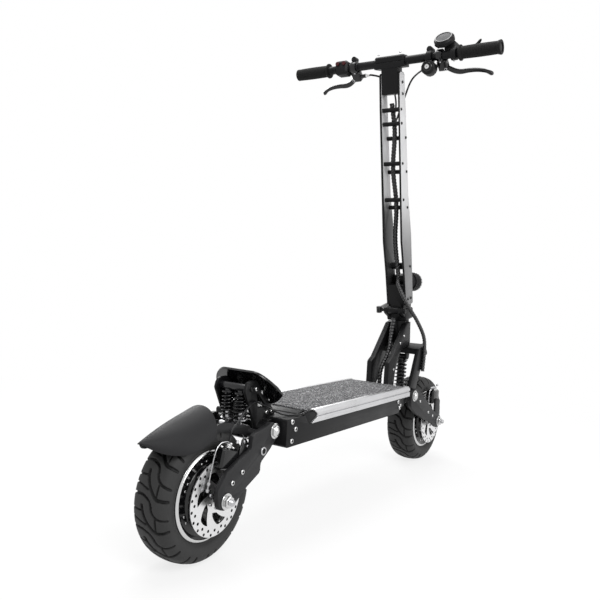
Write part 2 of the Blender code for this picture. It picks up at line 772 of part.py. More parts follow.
def eye_sleeve(place, half):
    """The loose sleeve at the lower eye, round the arm's bridge."""
    return cross_rod(*place, half, BRIDGE_RADIUS + EYE_PLAY + EYE_WALL, 14)


def deck_tub():
    """The battery box: low sides under the rails and a taller tail end, open on top."""
    step = DECK_REAR + RAIL_START
    outline = rounded([
        (DECK_REAR, DECK_BOTTOM, 0.004), (DECK_REAR, TAIL_TOP, 0.003),
        (step - 0.016, TAIL_TOP, 0), (step, SIDE_TOP, 0),
        (DECK_FRONT, SIDE_TOP, 0.003), (DECK_FRONT - 0.008, DECK_BOTTOM, 0.006)])
    shell = plate(outline, -DECK_HALF, DECK_HALF)
    hollow = block((DECK_REAR + 2 * TUB_WALL, DECK_FRONT - 4 * TUB_WALL),
                   (-DECK_HALF + TUB_WALL, DECK_HALF - TUB_WALL),
                   (DECK_BOTTOM + TUB_WALL, TAIL_TOP - TUB_WALL))
    x, y = STAND_AT
    low = DECK_BOTTOM - STAND_RADIUS - 0.004
    lug = fuse(rod((x, y - 0.004, low), (x, y + 0.004, low), 0.009, 16),
               block((x - 0.009, x + 0.009), (y - 0.004, y + 0.004), (low, DECK_BOTTOM + 0.001)))
    bore = rod((x, y - 0.01, low), (x, y + 0.01, low), STAND_PIN + TURN, 12)
    return cut(fuse(cut(shell, hollow), lug), bore)


def rail(side):
    """A silver edge rail, with a groove outside and a ledge inside that carries the cover."""
    out = DECK_HALF + RAIL_OUT
    low = SIDE_TOP + FIT
    top = DECK_TOP
    shelf = COVER_LOW - FIT
    groove = (low + top) / 2
    wall = DECK_HALF - TUB_WALL - 0.002
    section = [
        (RAIL_IN, top), (out - 0.005, top), (out, top - 0.006), (out, groove + 0.002),
        (out - RAIL_GROOVE, groove + 0.001), (out - RAIL_GROOVE, groove - 0.001), (out, groove - 0.002),
        (out, low), (wall, low), (wall, shelf - 0.003), (RAIL_IN - LEDGE, shelf - 0.003),
        (RAIL_IN - LEDGE, shelf), (RAIL_IN, shelf)]
    start = DECK_REAR + RAIL_START + 0.003
    end = DECK_FRONT + RAIL_OVER
    along = Matrix.Rotation(math.radians(90), 4, "Z")
    bar = plate([(side * y, z) for y, z in section], -end, -start, frame=along)
    rise = top - low
    over, before = top + 0.001, start - 0.002
    corner = [(before, low - 0.001), (before, over), (start + 0.6 * rise, over)]
    wedge = plate(corner, -out - 0.01, out + 0.01)
    return cut(bar, wedge)


def neck_frame():
    """The block on the deck's front, two slanted bars and the steering head tube."""
    x0 = DECK_FRONT + FIT
    back = x0 + 0.036
    front = x0 + 0.070
    top = COVER_LOW - FIT
    head_top = STEM @ Vector((0, 0, -BASE_DEPTH - FIT))
    head_low = STEM @ Vector((0, 0, HEAD_LOW))
    clear = STEM @ Vector((-CROWN_SWEEP, 0, HEAD_LOW + 0.004))
    outline = rounded([
        (back, top - 0.010, 0), (back, top + 0.066, 0.006), (back + 0.020, top + 0.078, 0.006),
        (head_top.x - 0.024, head_top.z - 0.012, 0.004), (head_top.x, head_top.z - 0.006, 0),
        (head_low.x - 0.010, head_low.z + 0.006, 0.006), (clear.x, clear.z, 0.02),
        (front + 0.008, top + 0.040, 0.020), (front, top - 0.010, 0)])
    outer = NECK_IN + NECK_PLATE
    body = fuse(
        block((x0, front), (-NECK_BLOCK_HALF, NECK_BLOCK_HALF), (DECK_BOTTOM + 0.005, top)),
        plate(outline, -outer, -NECK_IN), plate(outline, NECK_IN, outer),
        rod((0, 0, HEAD_LOW), (0, 0, -BASE_DEPTH - FIT), HEAD_TUBE, 24, STEM))
    return cut(body, rod((0, 0, HEAD_LOW - 0.01), (0, 0, 0.01 - BASE_DEPTH), STEERER + TURN, 20, STEM))


def fork():
    """Steerer, crown, the two plates that carry the arm, the shock's lug and a fender tongue."""
    fx, fz = F_PIVOT
    crown = STEM @ Vector((0, 0, CROWN_LOW))
    x, z = crown.x, crown.z
    outer = FORK_IN + FORK_THICK
    outline = rounded([
        (x - 0.024, z + 0.012, 0), (x + 0.028, z + 0.018, 0), (x + 0.026, z - 0.006, 0.01),
        (x - 0.004, z - 0.050, 0.03), (fx + 0.022, fz + 0.006, 0.012), (fx + 0.014, fz - 0.020, 0.014),
        (fx - 0.014, fz - 0.020, 0.014), (fx - 0.020, fz + 0.010, 0.012), (fx + 0.006, fz + 0.060, 0.03)])
    hole = [circle(fx, fz, PIVOT_RADIUS + TURN, 12)]
    lug_half = SHOCK_YOKE + 0.006
    tx, tz = F_TOP
    lug = rounded([(tx - 0.012, crown.z + 0.004, 0), (tx + 0.012, crown.z + 0.004, 0),
                   (tx + 0.009, tz - 0.007, 0.007), (tx - 0.009, tz - 0.007, 0.007)])
    body = fuse(
        rod((0, 0, CROWN_LOW + 0.004), (0, 0, -0.008), STEERER, 20, STEM),
        block((-0.024, 0.030), (-outer, outer), (CROWN_LOW, CROWN_TOP), STEM),
        plate(outline, -outer, -FORK_IN, hole), plate(outline, FORK_IN, outer, hole),
        plate(lug, -lug_half - 0.005, -lug_half), plate(lug, lug_half, lug_half + 0.005),
        cross_rod(tx, tz, lug_half + 0.004, SHOCK_PIN, 12),
        block((x + 0.02, x + 0.085), (-0.010, 0.010), (z + 0.004, z + 0.009)))
    return body


def front_swingarm():
    """Two front plates that lead the wheel, the shock's bridge and the caliper's tab."""
    fx, fz = F_PIVOT
    x, z = FRONT_X, TYRE_R
    ex, ez = F_EYE
    outline = rounded([
        (fx - 0.020, fz - 0.028, 0.012), (fx - 0.020, fz + 0.012, 0.014), (fx + 0.010, fz + 0.020, 0.016),
        (fx + 0.040, fz + 0.006, 0.014), (ex + 0.010, ez + 0.013, 0.014), (x - 0.060, z + 0.048, 0.020),
        (x - 0.016, z + 0.024, 0.010), (x + 0.018, z + 0.014, 0.012), (x + 0.018, z - 0.012, 0.014),
        (x - 0.006, z - 0.020, 0.012), (x - 0.060, z + 0.006, 0.020), (ex + 0.010, ez - 0.050, 0.020),
        (fx + 0.012, fz - 0.050, 0.030)])
    holes = [circle(x, z, AXLE_RADIUS + TURN, 12), circle(fx, fz, PIVOT_RADIUS + TURN, 12)]
    tab = rounded([(x - 0.018, z + 0.018, 0.004), (x - 0.018, z + 0.066, 0.006),
                   (x + 0.016, z + 0.066, 0.006), (x + 0.016, z + 0.009, 0.004)])
    return fuse(
        plate(outline, -ARM_OUTER, -ARM_INNER, holes), plate(outline, ARM_INNER, ARM_OUTER, holes),
        plate(tab, -ARM_INNER - TAB_THICK, -ARM_INNER),
        cross_rod(*F_EYE, ARM_INNER + 0.004, BRIDGE_RADIUS, 12))


def fold_base():
    """The block clamped on the steerer, with two rear ears and the folding pin."""
    front = 0.028
    back = -FOLD_BACK + FOLD_KNUCKLE + 0.0005
    body = soften(block((back, front), (-BASE_HALF, BASE_HALF), (-BASE_DEPTH, -FIT), STEM), 0.003)
    body = cut(body, rod((0, 0, -BASE_DEPTH - 0.01), (0, 0, -0.0065), STEERER + TURN, 20, STEM))
    ear_front = -FOLD_BACK + FOLD_KNUCKLE - 0.0005
    ear = rounded([(-FOLD_BACK - FOLD_KNUCKLE, FOLD_KNUCKLE, FOLD_KNUCKLE),
                   (ear_front, FOLD_KNUCKLE, FOLD_KNUCKLE), (ear_front, -0.006, 0),
                   (back + 0.004, -0.008, 0), (back + 0.004, -0.024, 0),
                   (-FOLD_BACK - FOLD_KNUCKLE, -0.006, FOLD_KNUCKLE)])
    inner, outer = KNUCKLE_HALF + FIT, BASE_HALF - 0.001
    pin = rod((-FOLD_BACK, -outer - 0.003, 0), (-FOLD_BACK, BASE_HALF + 0.010, 0), FOLD_PIN, 12, STEM)
    head = rod((-FOLD_BACK, -outer - 0.006, 0), (-FOLD_BACK, -outer + 0.002, 0), 0.008, 6, STEM)
    ears = [plate(ear, -outer, -inner, frame=STEM), plate(ear, inner, outer, frame=STEM)]
    return fuse(body, *ears, pin, head)


def fold_latch():
    """The cam lever on the folding pin's left end, lying forward along the base."""
    y = BASE_HALF + 0.010 + FIT
    cam = rod((-FOLD_BACK, y + 0.008, -0.009), (-FOLD_BACK, y + 0.008, 0.009), 0.008, 16, STEM)
    handle = rounded([(-FOLD_BACK, -0.007, 0), (-FOLD_BACK, 0.007, 0), (0.020, 0.009, 0.006),
                      (0.040, 0.004, 0.005), (0.040, -0.006, 0.005), (0.020, -0.008, 0.006)])
    return fuse(cam, plate(handle, y + 0.005, y + 0.011, frame=STEM))


def stem_outline():
    """A side plate of the ladder: deep at the foot, slim at the top, swept at the front."""
    return rounded([
        (-0.020, 0.012, 0.004), (-0.026, 0.110, 0.08), (-0.036, 0.200, 0.10), (-0.032, 0.330, 0.2),
        (-0.030, 0.560, 0.1), (-0.026, STEM_TOP, 0.006), (0.006, STEM_TOP, 0.006),
        (0.010, 0.520, 0.2), (0.012, 0.330, 0.15), (0.026, 0.215, 0.10), (0.027, 0.012, 0.004)], 3)


def stem_plate(side):
    """One side plate; the left one carries the ladder's cross spacers."""
    low, high = sorted((side * STEM_PLATE_IN, side * (STEM_PLATE_IN + STEM_PLATE)))
    body = plate(stem_outline(), low, high, frame=STEM)
    if side < 0:
        return body
    low, high = -STEM_PLATE_IN + FIT, STEM_PLATE_IN + 0.002
    places = [(REAR_RUNG, s, SPACER_RADIUS, 8) for s in REAR_SPACERS]
    places += [(FRONT_RUNG, s, SPACER_RADIUS, 8) for s in FRONT_SPACERS]
    places.append((LOW_RUNG, LOW_SPACER, LOW_SPACER_RADIUS, 10))
    rungs = [rod((u, low, s), (u, high, s), radius, sides, STEM) for u, s, radius, sides in places]
    return fuse(body, *rungs)


def stem_foot():
    """The solid foot between the plates, with the knuckle that turns on the folding pin."""
    inner = STEM_PLATE_IN - FIT
    body = block((-0.0235, 0.0265), (-inner, inner), (FIT, FOOT_TOP), STEM)
    lug = fuse(rod((-FOLD_BACK, -KNUCKLE_HALF, 0), (-FOLD_BACK, KNUCKLE_HALF, 0), FOLD_KNUCKLE, 16, STEM),
               block((-FOLD_BACK, -0.020), (-KNUCKLE_HALF, KNUCKLE_HALF), (FIT, FOLD_KNUCKLE), STEM))
    body = fuse(body, lug)
    return cut(body, rod((-FOLD_BACK, -0.05, 0), (-FOLD_BACK, 0.05, 0), FOLD_PIN + TURN, 12, STEM))


def stem_head():
    """The head block that closes the ladder's top and carries the bar in a wide saddle."""
    inner = STEM_PLATE_IN - FIT
    body = block((-0.026, 0.005), (-inner, inner), (0.598, BAR_S - BAR_R - 0.004), STEM)
    top = BAR @ Matrix.Rotation(-RAKE, 4, "Y")
    saddle = block((-0.017, 0.017), (-CLAMP_HALF, CLAMP_HALF), (-0.016, -FIT), top)
    body = fuse(body, saddle)
    return cut(body, cross_rod(0, 0, CLAMP_HALF + 0.01, BAR_R + FIT, 20, top))


def bar_clamp():
    """The cap that holds the bar down on the saddle, with two bolt bosses."""
    top = BAR @ Matrix.Rotation(-RAKE, 4, "Y")
    body = soften(block((-0.017, 0.017), (-CLAMP_HALF, CLAMP_HALF), (FIT - 0.004, 0.016), top), 0.004)
    body = cut(body, block((-0.03, 0.03), (-0.1, 0.1), (-0.02, FIT), top))
    return cut(body, cross_rod(0, 0, CLAMP_HALF + 0.01, BAR_R + FIT, 20, top))


def grip(inner_end, side):
    """A ribbed rubber grip with a collar at its inner end."""
    start = inner_end
    bore = BAR_BORE
    profile = [(bore, GRIP_LENGTH)]
    profile += [(GRIP_RADIUS - 0.002, GRIP_LENGTH), (GRIP_RADIUS, GRIP_LENGTH - 0.003)]
    ribs = 3
    span = (GRIP_LENGTH - 0.016) / ribs
    for rib in range(ribs):
        high = GRIP_LENGTH - 0.008 - rib * span
        profile += [(GRIP_RADIUS, high), (GRIP_RADIUS - 0.0012, high - 0.4 * span)]
    profile += [(GRIP_RADIUS, 0.005), (GRIP_RADIUS + 0.004, 0.004), (GRIP_RADIUS + 0.004, 0), (bore, 0)]
    turn = Matrix.Rotation(math.radians(-90 * side), 4, "X")
    return turned(profile, 14, True, BAR @ Matrix.Translation((0, side * start, 0)) @ turn)


def ring(at_y, width, wall=RING_WALL):
    """A clamp ring round the bar, before what it carries is fused on."""
    half = width / 2
    return rod((0, at_y - half, 0), (0, at_y + half, 0), BAR_R + wall, 14, BAR)


def bored(shape):
    """Open a fitting for the bar."""
    return cut(shape, cross_rod(0, 0, 0.4, BAR_BORE, 16, BAR))


def brake_perch(at_y, side):
    """A lever's clamp, its forked body and the cable's barrel adjuster."""
    pivot = at_y + side * LEVER_OUT
    body = soften(block((BAR_R, LEVER_PIVOT + 0.006), sorted((at_y - side * 0.012, pivot + side * 0.005)),
                        (-0.010, 0.010), LEVER), 0.003)
    half = LEVER_THICK / 2 + FIT
    slot = block((LEVER_PIVOT - 0.012, LEVER_PIVOT + 0.02),
                 sorted((pivot - side * 0.010, pivot + side * 0.02)), (-half, half), LEVER)
    lie = LEVER_PIVOT - BARREL_BACK
    barrel = rod((lie, at_y - side * BARREL_END, 0), (lie, at_y - side * 0.010, 0), 0.0055, 12, LEVER)
    body = cut(body, slot)
    pin = rod((LEVER_PIVOT, pivot, -0.0095), (LEVER_PIVOT, pivot, 0.0095), 0.0025, 10, LEVER)
    return bored(fuse(ring(at_y, RING_WIDTH), body, barrel, pin))


def brake_lever(at_y, side):
    """A two-finger lever blade that bends forward and runs out along the grip."""
    pivot = at_y + side * LEVER_OUT
    corners = [(LEVER_PIVOT - 0.005, -0.005, 0.004), (LEVER_PIVOT + 0.006, -0.005, 0.004),
               (LEVER_REACH + 0.002, 0.030, 0.020), (LEVER_REACH - 0.002, 0.075, 0.060),
               (LEVER_REACH + 0.004, LEVER_LENGTH - 0.008, 0.020),
               (LEVER_REACH + 0.002, LEVER_LENGTH, 0.003),
               (LEVER_REACH - 0.006, LEVER_LENGTH, 0.003), (LEVER_REACH - 0.010, 0.075, 0.060),
               (LEVER_REACH - 0.008, 0.034, 0.020), (LEVER_PIVOT - 0.005, 0.008, 0.004)]
    outline = rounded([(x, side * y, r) for x, y, r in corners], 2)
    half = LEVER_THICK / 2
    lay = LEVER @ Matrix.Translation((0, pivot, 0)) @ Matrix.Rotation(math.radians(-90), 4, "X")
    hole = [circle(LEVER_PIVOT, 0, 0.0025 + TURN, 10)]
    return plate(outline, -half, half, hole, lay)


def switch_box():
    """The left switch housing, with two bored pockets facing the rider."""
    half = SWITCH_SIZE / 2
    wide = SWITCH_WIDTH / 2
    depth = BUTTON_IN + BUTTON_TRAVEL + FIT
    body = soften(block((-half, half), (SWITCH_AT - wide, SWITCH_AT + wide), (-half, half), BAR), 0.006)
    pockets = [rod((-half - 0.01, y, z), (-half + depth, y, z), BUTTON_RADIUS + FIT, 14, BAR)
               for y, z in button_places()]
    return bored(cut(body, *pockets))


def button_places():
    """Where the two buttons lie on the switch housing's rear face."""
    wide = SWITCH_WIDTH / 4
    return [(SWITCH_AT + wide, BUTTON_RISE), (SWITCH_AT - wide, BUTTON_RISE)]


def button(place):
    """A push button in its pocket, with room left to travel."""
    y, z = place
    face = -SWITCH_SIZE / 2
    return rod((face - BUTTON_OUT, y, z), (face + BUTTON_IN, y, z), BUTTON_RADIUS, 14, BAR)


def display_unit():
    """The round display with its throttle housing, on one clamp ring."""
    place = BAR @ Matrix.Translation((-0.004, DISPLAY_AT, DISPLAY_RISE))
    tilt = place @ Matrix.Rotation(-DISPLAY_TILT, 4, "Y")
    half = DISPLAY_DEPTH / 2
    profile = [(0, half), (DISPLAY_RADIUS - 0.004, half), (DISPLAY_RADIUS, half - 0.004),
               (DISPLAY_RADIUS, -half + 0.005), (DISPLAY_RADIUS - 0.007, -half), (0, -half)]
    pod = turned(profile, 18, False, tilt)
    return bored(fuse(ring(TRIGGER_RING, RING_WIDTH), trigger_box(), pod))


def trigger_box():
    """The throttle's forked housing in front of the display."""
    x, y, z = trigger_pivot()
    arm = block((-0.004, x + 0.010), (TRIGGER_RING, y + 0.016), (z - 0.010, z + 0.010), BAR)
    slot = block((x - 0.012, x + 0.02), (y - 0.02, y + 0.010), (z - 0.0063, z + 0.0063), BAR)
    pin = rod((x, y, z - 0.0098), (x, y, z + 0.0098), 0.002, 10, BAR)
    return fuse(cut(arm, slot), pin)


def trigger_pivot():
    """The throttle trigger's pivot, in the bar's frame."""
    return (0.030, TRIGGER_AT, 0.022)


def throttle_trigger():
    """A curved finger trigger that reaches out in front of the right grip."""
    px, py, pz = trigger_pivot()
    end = TRIGGER_LENGTH
    corners = [(-0.005, -0.004, 0.004), (0.006, -0.005, 0.004), (0.016, 0.030, 0.030), (0.014, end, 0.004),
               (0.006, end + 0.002, 0.004), (0.007, 0.034, 0.030), (-0.005, 0.006, 0.004)]
    outline = rounded([(x, -y, radius) for x, y, radius in corners], 2)
    lay = BAR @ Matrix.Translation((px, py, pz)) @ Matrix.Rotation(math.radians(-90), 4, "X")
    return plate(outline, -0.006, 0.006, [circle(0, 0, 0.002 + TURN, 10)], lay)


def key_lock():
    """The lock and voltage puck that hangs under the bar on a strap, facing the rider."""
    drop = -BAR_R - LOCK_RADIUS
    half = LOCK_DEPTH / 2
    profile = [(0, half), (LOCK_RADIUS - 0.003, half), (LOCK_RADIUS, half - 0.003),
               (LOCK_RADIUS, -half), (0, -half)]
    face = BAR @ Matrix.Translation((-0.004, LOCK_AT, drop)) @ Matrix.Rotation(math.radians(-90), 4, "Y")
    puck = turned(profile, 14, False, face)
    dish = LOCK_RADIUS - 0.006
    recess = turned([(0, half + 0.01), (dish, half + 0.01), (dish, half - 0.002), (0, half - 0.002)],
                    12, False, face)
    key = turned([(0, half + 0.003), (0.006, half + 0.003), (0.006, half - 0.004), (0, half - 0.004)],
                 8, False, face)
    barrel = rod((-0.010, LOCK_AT, 0.018), (0.012, LOCK_AT, 0.018), 0.008, 10, BAR)
    return bored(fuse(cut(puck, recess), key, ring(LOCK_AT, RING_WIDTH), barrel))


def headlight():
    """A round lamp on a bracket that plugs in between the stem's plates."""
    place = STEM @ Vector((0.030, 0, FOOT_TOP + 0.002))
    inner = STEM_PLATE_IN - FIT
    z = place.z
    back = place.x + 0.004
    front = back + LAMP_LENGTH
    profile = [(0, -0.010), (LAMP_RADIUS - 0.005, -0.010), (LAMP_RADIUS - 0.004, 0), (LAMP_RADIUS, 0),
               (LAMP_RADIUS, -0.012), (LAMP_RADIUS - 0.002, -0.016),
               (LAMP_RADIUS - 0.002, 0.030 - LAMP_LENGTH),
               (LAMP_RADIUS - 0.010, -LAMP_LENGTH), (0, -LAMP_LENGTH)]
    aim = at(front, z) @ Matrix.Rotation(math.radians(90), 4, "Y")
    shell = turned(profile, 20, False, aim)
    bracket = block((0.010, 0.046), (-inner, inner), (FOOT_TOP + FIT, FOOT_TOP + 0.022), STEM)
    return fuse(shell, bracket)


def kickstand():
    """A prop folded back along the underside of the deck's left edge."""
    x, y = STAND_AT
    z = DECK_BOTTOM - STAND_RADIUS - 0.004
    outer = y + 0.004 + FIT
    hub = rod((x, outer, z), (x, outer + 0.011, z), 0.010, 12)
    leg = rod((x, outer + 0.0065, z), (x - STAND_LENGTH, outer + 0.0065, z), STAND_RADIUS * 0.8, 10)
    foot = block((x - STAND_LENGTH - 0.002, x - STAND_LENGTH + 0.022), (outer - 0.004, outer + 0.014),
                 (z - 0.008, z + 0.008))
    pin = rod((x, y - 0.007, z), (x, outer + 0.012, z), STAND_PIN, 12)
    return fuse(hub, leg, foot, pin)


def control_harness():
    """The bundle down the ladder, with one branch to each brake lever's barrel."""
    points = [(-0.0097, 0.002, 0.575), (-0.0097, -0.004, 0.50), (-0.0097, 0.004, 0.40),
              (-0.0097, -0.003, 0.30), (-0.0100, 0.003, 0.20), (-0.0120, -0.004, 0.102)]
    body = tube(smooth_route(points, 4 * TRUNK), TRUNK, 1, STEM)
    for at_y, side, high in ((LEFT_PERCH, 1, 0.6396), (RIGHT_PERCH, -1, 0.638)):
        barrel = LEVER @ Vector((LEVER_PIVOT - BARREL_BACK, at_y - side * (BARREL_END + FIT), 0))
        start = STEM.inverted() @ barrel
        lead = Vector((0, -side * 0.008, 0))
        route = [start, start + lead, start + 2 * lead, (0.046, side * 0.034, high),
                 (0.036, side * 0.012, 0.585), (0.012, side * 0.006, 0.545), (-0.008, side * 0.004, 0.520)]
        body = fuse(body, tube(smooth_route(route, 4 * CABLE), CABLE, 1, STEM))
    return body


def fold_loop():
    """The front wheel's leads: out of the foot, round the fold and down to the fork's right plate."""
    side = -FORK_IN - FORK_THICK - TRUNK * 0.8 - FIT
    route = [(-0.0120, -0.004, 0.1007), (-0.0150, -0.005, 0.090), (-0.032, -0.012, 0.079),
             (-0.044, -0.030, 0.050), (-0.042, -0.046, 0.018), (-0.018, -0.062, -0.030),
             (0.004, side, -0.085), (0.002, side, -0.135), (-0.012, side, -0.180)]
    return tube(smooth_route(route, 3 * TRUNK), TRUNK * 0.8, 2, STEM)


def steer_loop():
    """The main leads from behind the folding base down between the neck's bars to the deck."""
    top = COVER_LOW
    low = Vector((DECK_FRONT + 0.052, 0, top + 0.0005))
    high = STEM @ Vector((-0.040, 0, -0.022))
    route = [high, high + Vector((-0.006, 0.002, -0.040)), high + Vector((-0.030, -0.003, -0.095)),
             low + Vector((0.004, 0.0, 0.040)), low]
    return tube(smooth_route(route, 3 * TRUNK), TRUNK, 2)


def rear_cable():
    """The thin brake cable that drops from under the kicktail to the rear caliper."""
    x, z = REAR_TOP
    y = -ARM_INNER + FIT + CABLE_ARM
    tip = ROTOR_RADIUS - ROTOR_BAND - 0.002 + CALIPER_HEIGHT + CABLE_STUB
    side = TAIL_PLATE_IN + TAIL_PLATE + FIT + CABLE * 0.7
    lean = Matrix.Rotation(REAR_LEAN, 4, "Y")
    end = at(0, TYRE_R) @ lean @ Vector((-CABLE_ARM, y, tip + 2 * FIT))
    rise = lean @ Vector((0, 0, 0.007))
    route = [(x + 0.040, -side - 0.0010, z - 0.036), (x + 0.010, -side - 0.0020, z - 0.026),
             (x - 0.028, -side - 0.010, z - 0.036), (x - 0.060, y, z - 0.050),
             end + 3.2 * rise, end + 2 * rise, end + rise, end]
    return tube(smooth_route(route, 4 * CABLE), CABLE * 0.7, 1)


# Rear wheel, arm, shocks and fender
part("rear_tyre", tyre(0), "rubber", rear_wheel)
part("rear_hub_motor", hub_motor(0), "black_frame", rear_wheel)
part("rear_rotor", rotor(0), "steel", rear_wheel)
part("rear_swingarm", rear_swingarm(), "black_frame", rear_arm)
part("rear_axle", axle(0), "bolt_steel", rear_arm)
part("rear_caliper", caliper(0, REAR_LEAN), "black_paint", rear_arm)
part("rear_fender", rear_fender(), "fender_plastic", rear_arm)
rear_sizes = (REAR_BODY, REAR_COIL, REAR_WIRE, REAR_TURNS, SHOCK_STROKE - 0.002)
left = shock(REAR_TOP, REAR_EYE, REAR_SHOCK_SIDE, *rear_sizes)
right = shock(REAR_TOP, REAR_EYE, -REAR_SHOCK_SIDE, *rear_sizes)
yoke_half = TAIL_PLATE_IN - FIT
bodies = cut(fuse(left[0], right[0], yoke(REAR_TOP, yoke_half)),
             cross_rod(*REAR_TOP, yoke_half + 0.01, SHOCK_PIN + TURN, 12))
rods = cut(fuse(left[1], right[1], eye_sleeve(REAR_EYE, yoke_half)),
           cross_rod(*REAR_EYE, yoke_half + 0.01, BRIDGE_RADIUS + EYE_PLAY, 14))
part("rear_shock_bodies", bodies, "black_frame", rear_damper)
part("left_rear_spring", left[2], "black_paint", rear_damper)
part("right_rear_spring", right[2], "black_paint", rear_damper)
part("rear_shock_rods", rods, "steel", rear_rods)

# Deck, tail and neck
part("deck_tub", deck_tub(), "black_frame", deck)
part("left_deck_rail", rail(1), "silver", deck)
part("right_deck_rail", rail(-1), "silver", deck)
cover_start = DECK_REAR + RAIL_START + 0.003
cover_end = DECK_FRONT + COVER_OVER
mat_half = COVER_HALF - 0.001
cover = block((cover_start, cover_end), (-COVER_HALF, COVER_HALF), (COVER_LOW, COVER_TOP))
mat = block((cover_start + 0.004, cover_end - 0.002), (-mat_half, mat_half), (COVER_TOP + FIT, DECK_TOP))
part("deck_cover", cover, "black_frame", deck)
part("deck_mat", mat, "grip_mat", deck)
floor = DECK_BOTTOM + TUB_WALL + FIT
inside = DECK_HALF - TUB_WALL - INSIDE_MARGIN
battery_start = DECK_REAR + 2 * TUB_WALL + INSIDE_MARGIN
controller_end = DECK_FRONT - 4 * TUB_WALL - WIRING_SPACE
controller_start = controller_end - CONTROLLER_LENGTH
pack = block((battery_start, controller_start - INSIDE_MARGIN), (-inside, inside),
             (floor, floor + BATTERY_HEIGHT))
part("battery_pack", pack, "battery_wrap", deck)
heat_sink = block((controller_start, controller_end), (-inside, inside),
                  (floor, floor + 0.8 * BATTERY_HEIGHT))
part("motor_controller", heat_sink, "steel", deck)
part("tail_frame", tail_frame(), "black_frame", deck)
part("kicktail", kicktail(), "black_paint", deck)
part("rear_pivot_bolt", pivot_bolt(*REAR_PIVOT), "bolt_steel", deck)
part("neck_frame", neck_frame(), "black_frame", deck)
part("kickstand", kickstand(), "black_paint", stand_body)

# Fork, front arm, shock and wheel
part("fork", fork(), "black_frame", fork_body)
part("front_pivot_bolt", pivot_bolt(*F_PIVOT), "bolt_steel", fork_body)
crown_low = STEM @ Vector((0, 0, CROWN_LOW))
guard = fender(FRONT_X + 0.040, crown_low.z + 0.0112, crown_low.x + 0.036, crown_low.z + 0.0138,
               0.040, 0.030, 0.20)
part("front_fender", guard, "fender_plastic", fork_body)
part("fold_base", fold_base(), "black_frame", fork_body)
latch_body = joint_empty("latch_body", STEM @ Matrix.Translation((-FOLD_BACK, BASE_HALF + 0.018 + FIT, 0)))
part("fold_latch", fold_latch(), "black_paint", latch_body)
part("front_swingarm", front_swingarm(), "black_frame", front_arm)
part("front_axle", axle(FRONT_X), "bolt_steel", front_arm)
part("front_caliper", caliper(FRONT_X, 0), "black_paint", front_arm)
part("front_tyre", tyre(FRONT_X), "rubber", front_wheel)
part("front_hub_motor", hub_motor(FRONT_X), "black_frame", front_wheel)
part("front_rotor", rotor(FRONT_X), "steel", front_wheel)
front = shock(F_TOP, F_EYE, 0, FRONT_BODY, FRONT_COIL, FRONT_WIRE, FRONT_TURNS, SHOCK_STROKE)
sleeve = SHOCK_YOKE + 0.006 - FIT
body = cut(fuse(front[0], yoke(F_TOP, sleeve)), cross_rod(*F_TOP, sleeve + 0.01, SHOCK_PIN + TURN, 12))
part("front_shock_body", body, "black_frame", front_damper)
part("front_spring", front[2], "black_paint", front_damper)
part("front_shock_rod", cut(fuse(front[1], eye_sleeve(F_EYE, 0.020)),
                            cross_rod(*F_EYE, 0.03, BRIDGE_RADIUS + EYE_PLAY, 14)), "steel", front_rods)

# Stem, bar and controls
part("left_stem_plate", stem_plate(1), "black_frame", stem_body)
part("right_stem_plate", stem_plate(-1), "black_frame", stem_body)
part("stem_foot", stem_foot(), "black_frame", stem_body)
part("stem_head", stem_head(), "black_frame", stem_body)
part("handlebar", cross_rod(0, 0, BAR_HALF - 0.002, BAR_R, 20, BAR), "black_paint", stem_body)
part("bar_clamp", bar_clamp(), "black_frame", stem_body)
part("headlight", headlight(), "black_plastic", stem_body)
part("left_grip", grip(GRIP_START, 1), "rubber", stem_body)
part("right_grip", grip(GRIP_START, -1), "rubber", stem_body)
part("switch_box", switch_box(), "black_plastic", stem_body)
part("display_unit", display_unit(), "black_plastic", stem_body)
part("key_lock", key_lock(), "black_plastic", stem_body)
part("control_harness", control_harness(), "rubber", stem_body)
for label, at_y, side in (("left", LEFT_PERCH, 1), ("right", RIGHT_PERCH, -1)):
    pivot = LEVER @ Matrix.Translation((LEVER_PIVOT, at_y + side * LEVER_OUT, 0))
    part(f"{label}_brake_perch", brake_perch(at_y, side), "black_paint", stem_body)
    carrier = joint_empty(f"{label}_lever_body", pivot)
    part(f"{label}_brake_lever", brake_lever(at_y, side), "black_paint", carrier)
trigger_body = joint_empty("trigger_body", BAR @ Matrix.Translation(trigger_pivot()))
part("throttle_trigger", throttle_trigger(), "black_plastic", trigger_body)
for label, place in zip(("horn", "light"), button_places()):
    middle = BAR @ Matrix.Translation((-SWITCH_SIZE / 2, *place))
    part(f"{label}_button", button(place), "red_plastic", joint_empty(f"{label}_button_body", middle))

# Leads that bend at a joint
part("fold_loop", fold_loop(), "rubber", fork_body)
part("steer_loop", steer_loop(), "rubber", deck)
part("rear_brake_cable", rear_cable(), "rubber", deck)

for leftover in list(workshop.objects):
    bpy.data.objects.remove(leftover, do_unlink=True)
triangles = sum(len(polygon.vertices) - 2 for item in scooter.objects if item.type == "MESH"
                for polygon in item.data.polygons)
print("nodes:", sum(item.type == "MESH" for item in scooter.objects), "triangles:", triangles)
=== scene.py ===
# %% [markdown]
# # An electric kick scooter, dressed over its CAD frame
# The CAD model already holds every solid in its right place. This lesson keeps those solids,
# gives each one a finish, and models the small and rounded pieces that the solids leave plain:
# tyre tread, brake discs, springs, wrapped leads, bolts, lamp glass and display.

# %% Load the frame
import json
import math

import bmesh
import bpy
import numpy as np
from mathutils import Matrix, Vector

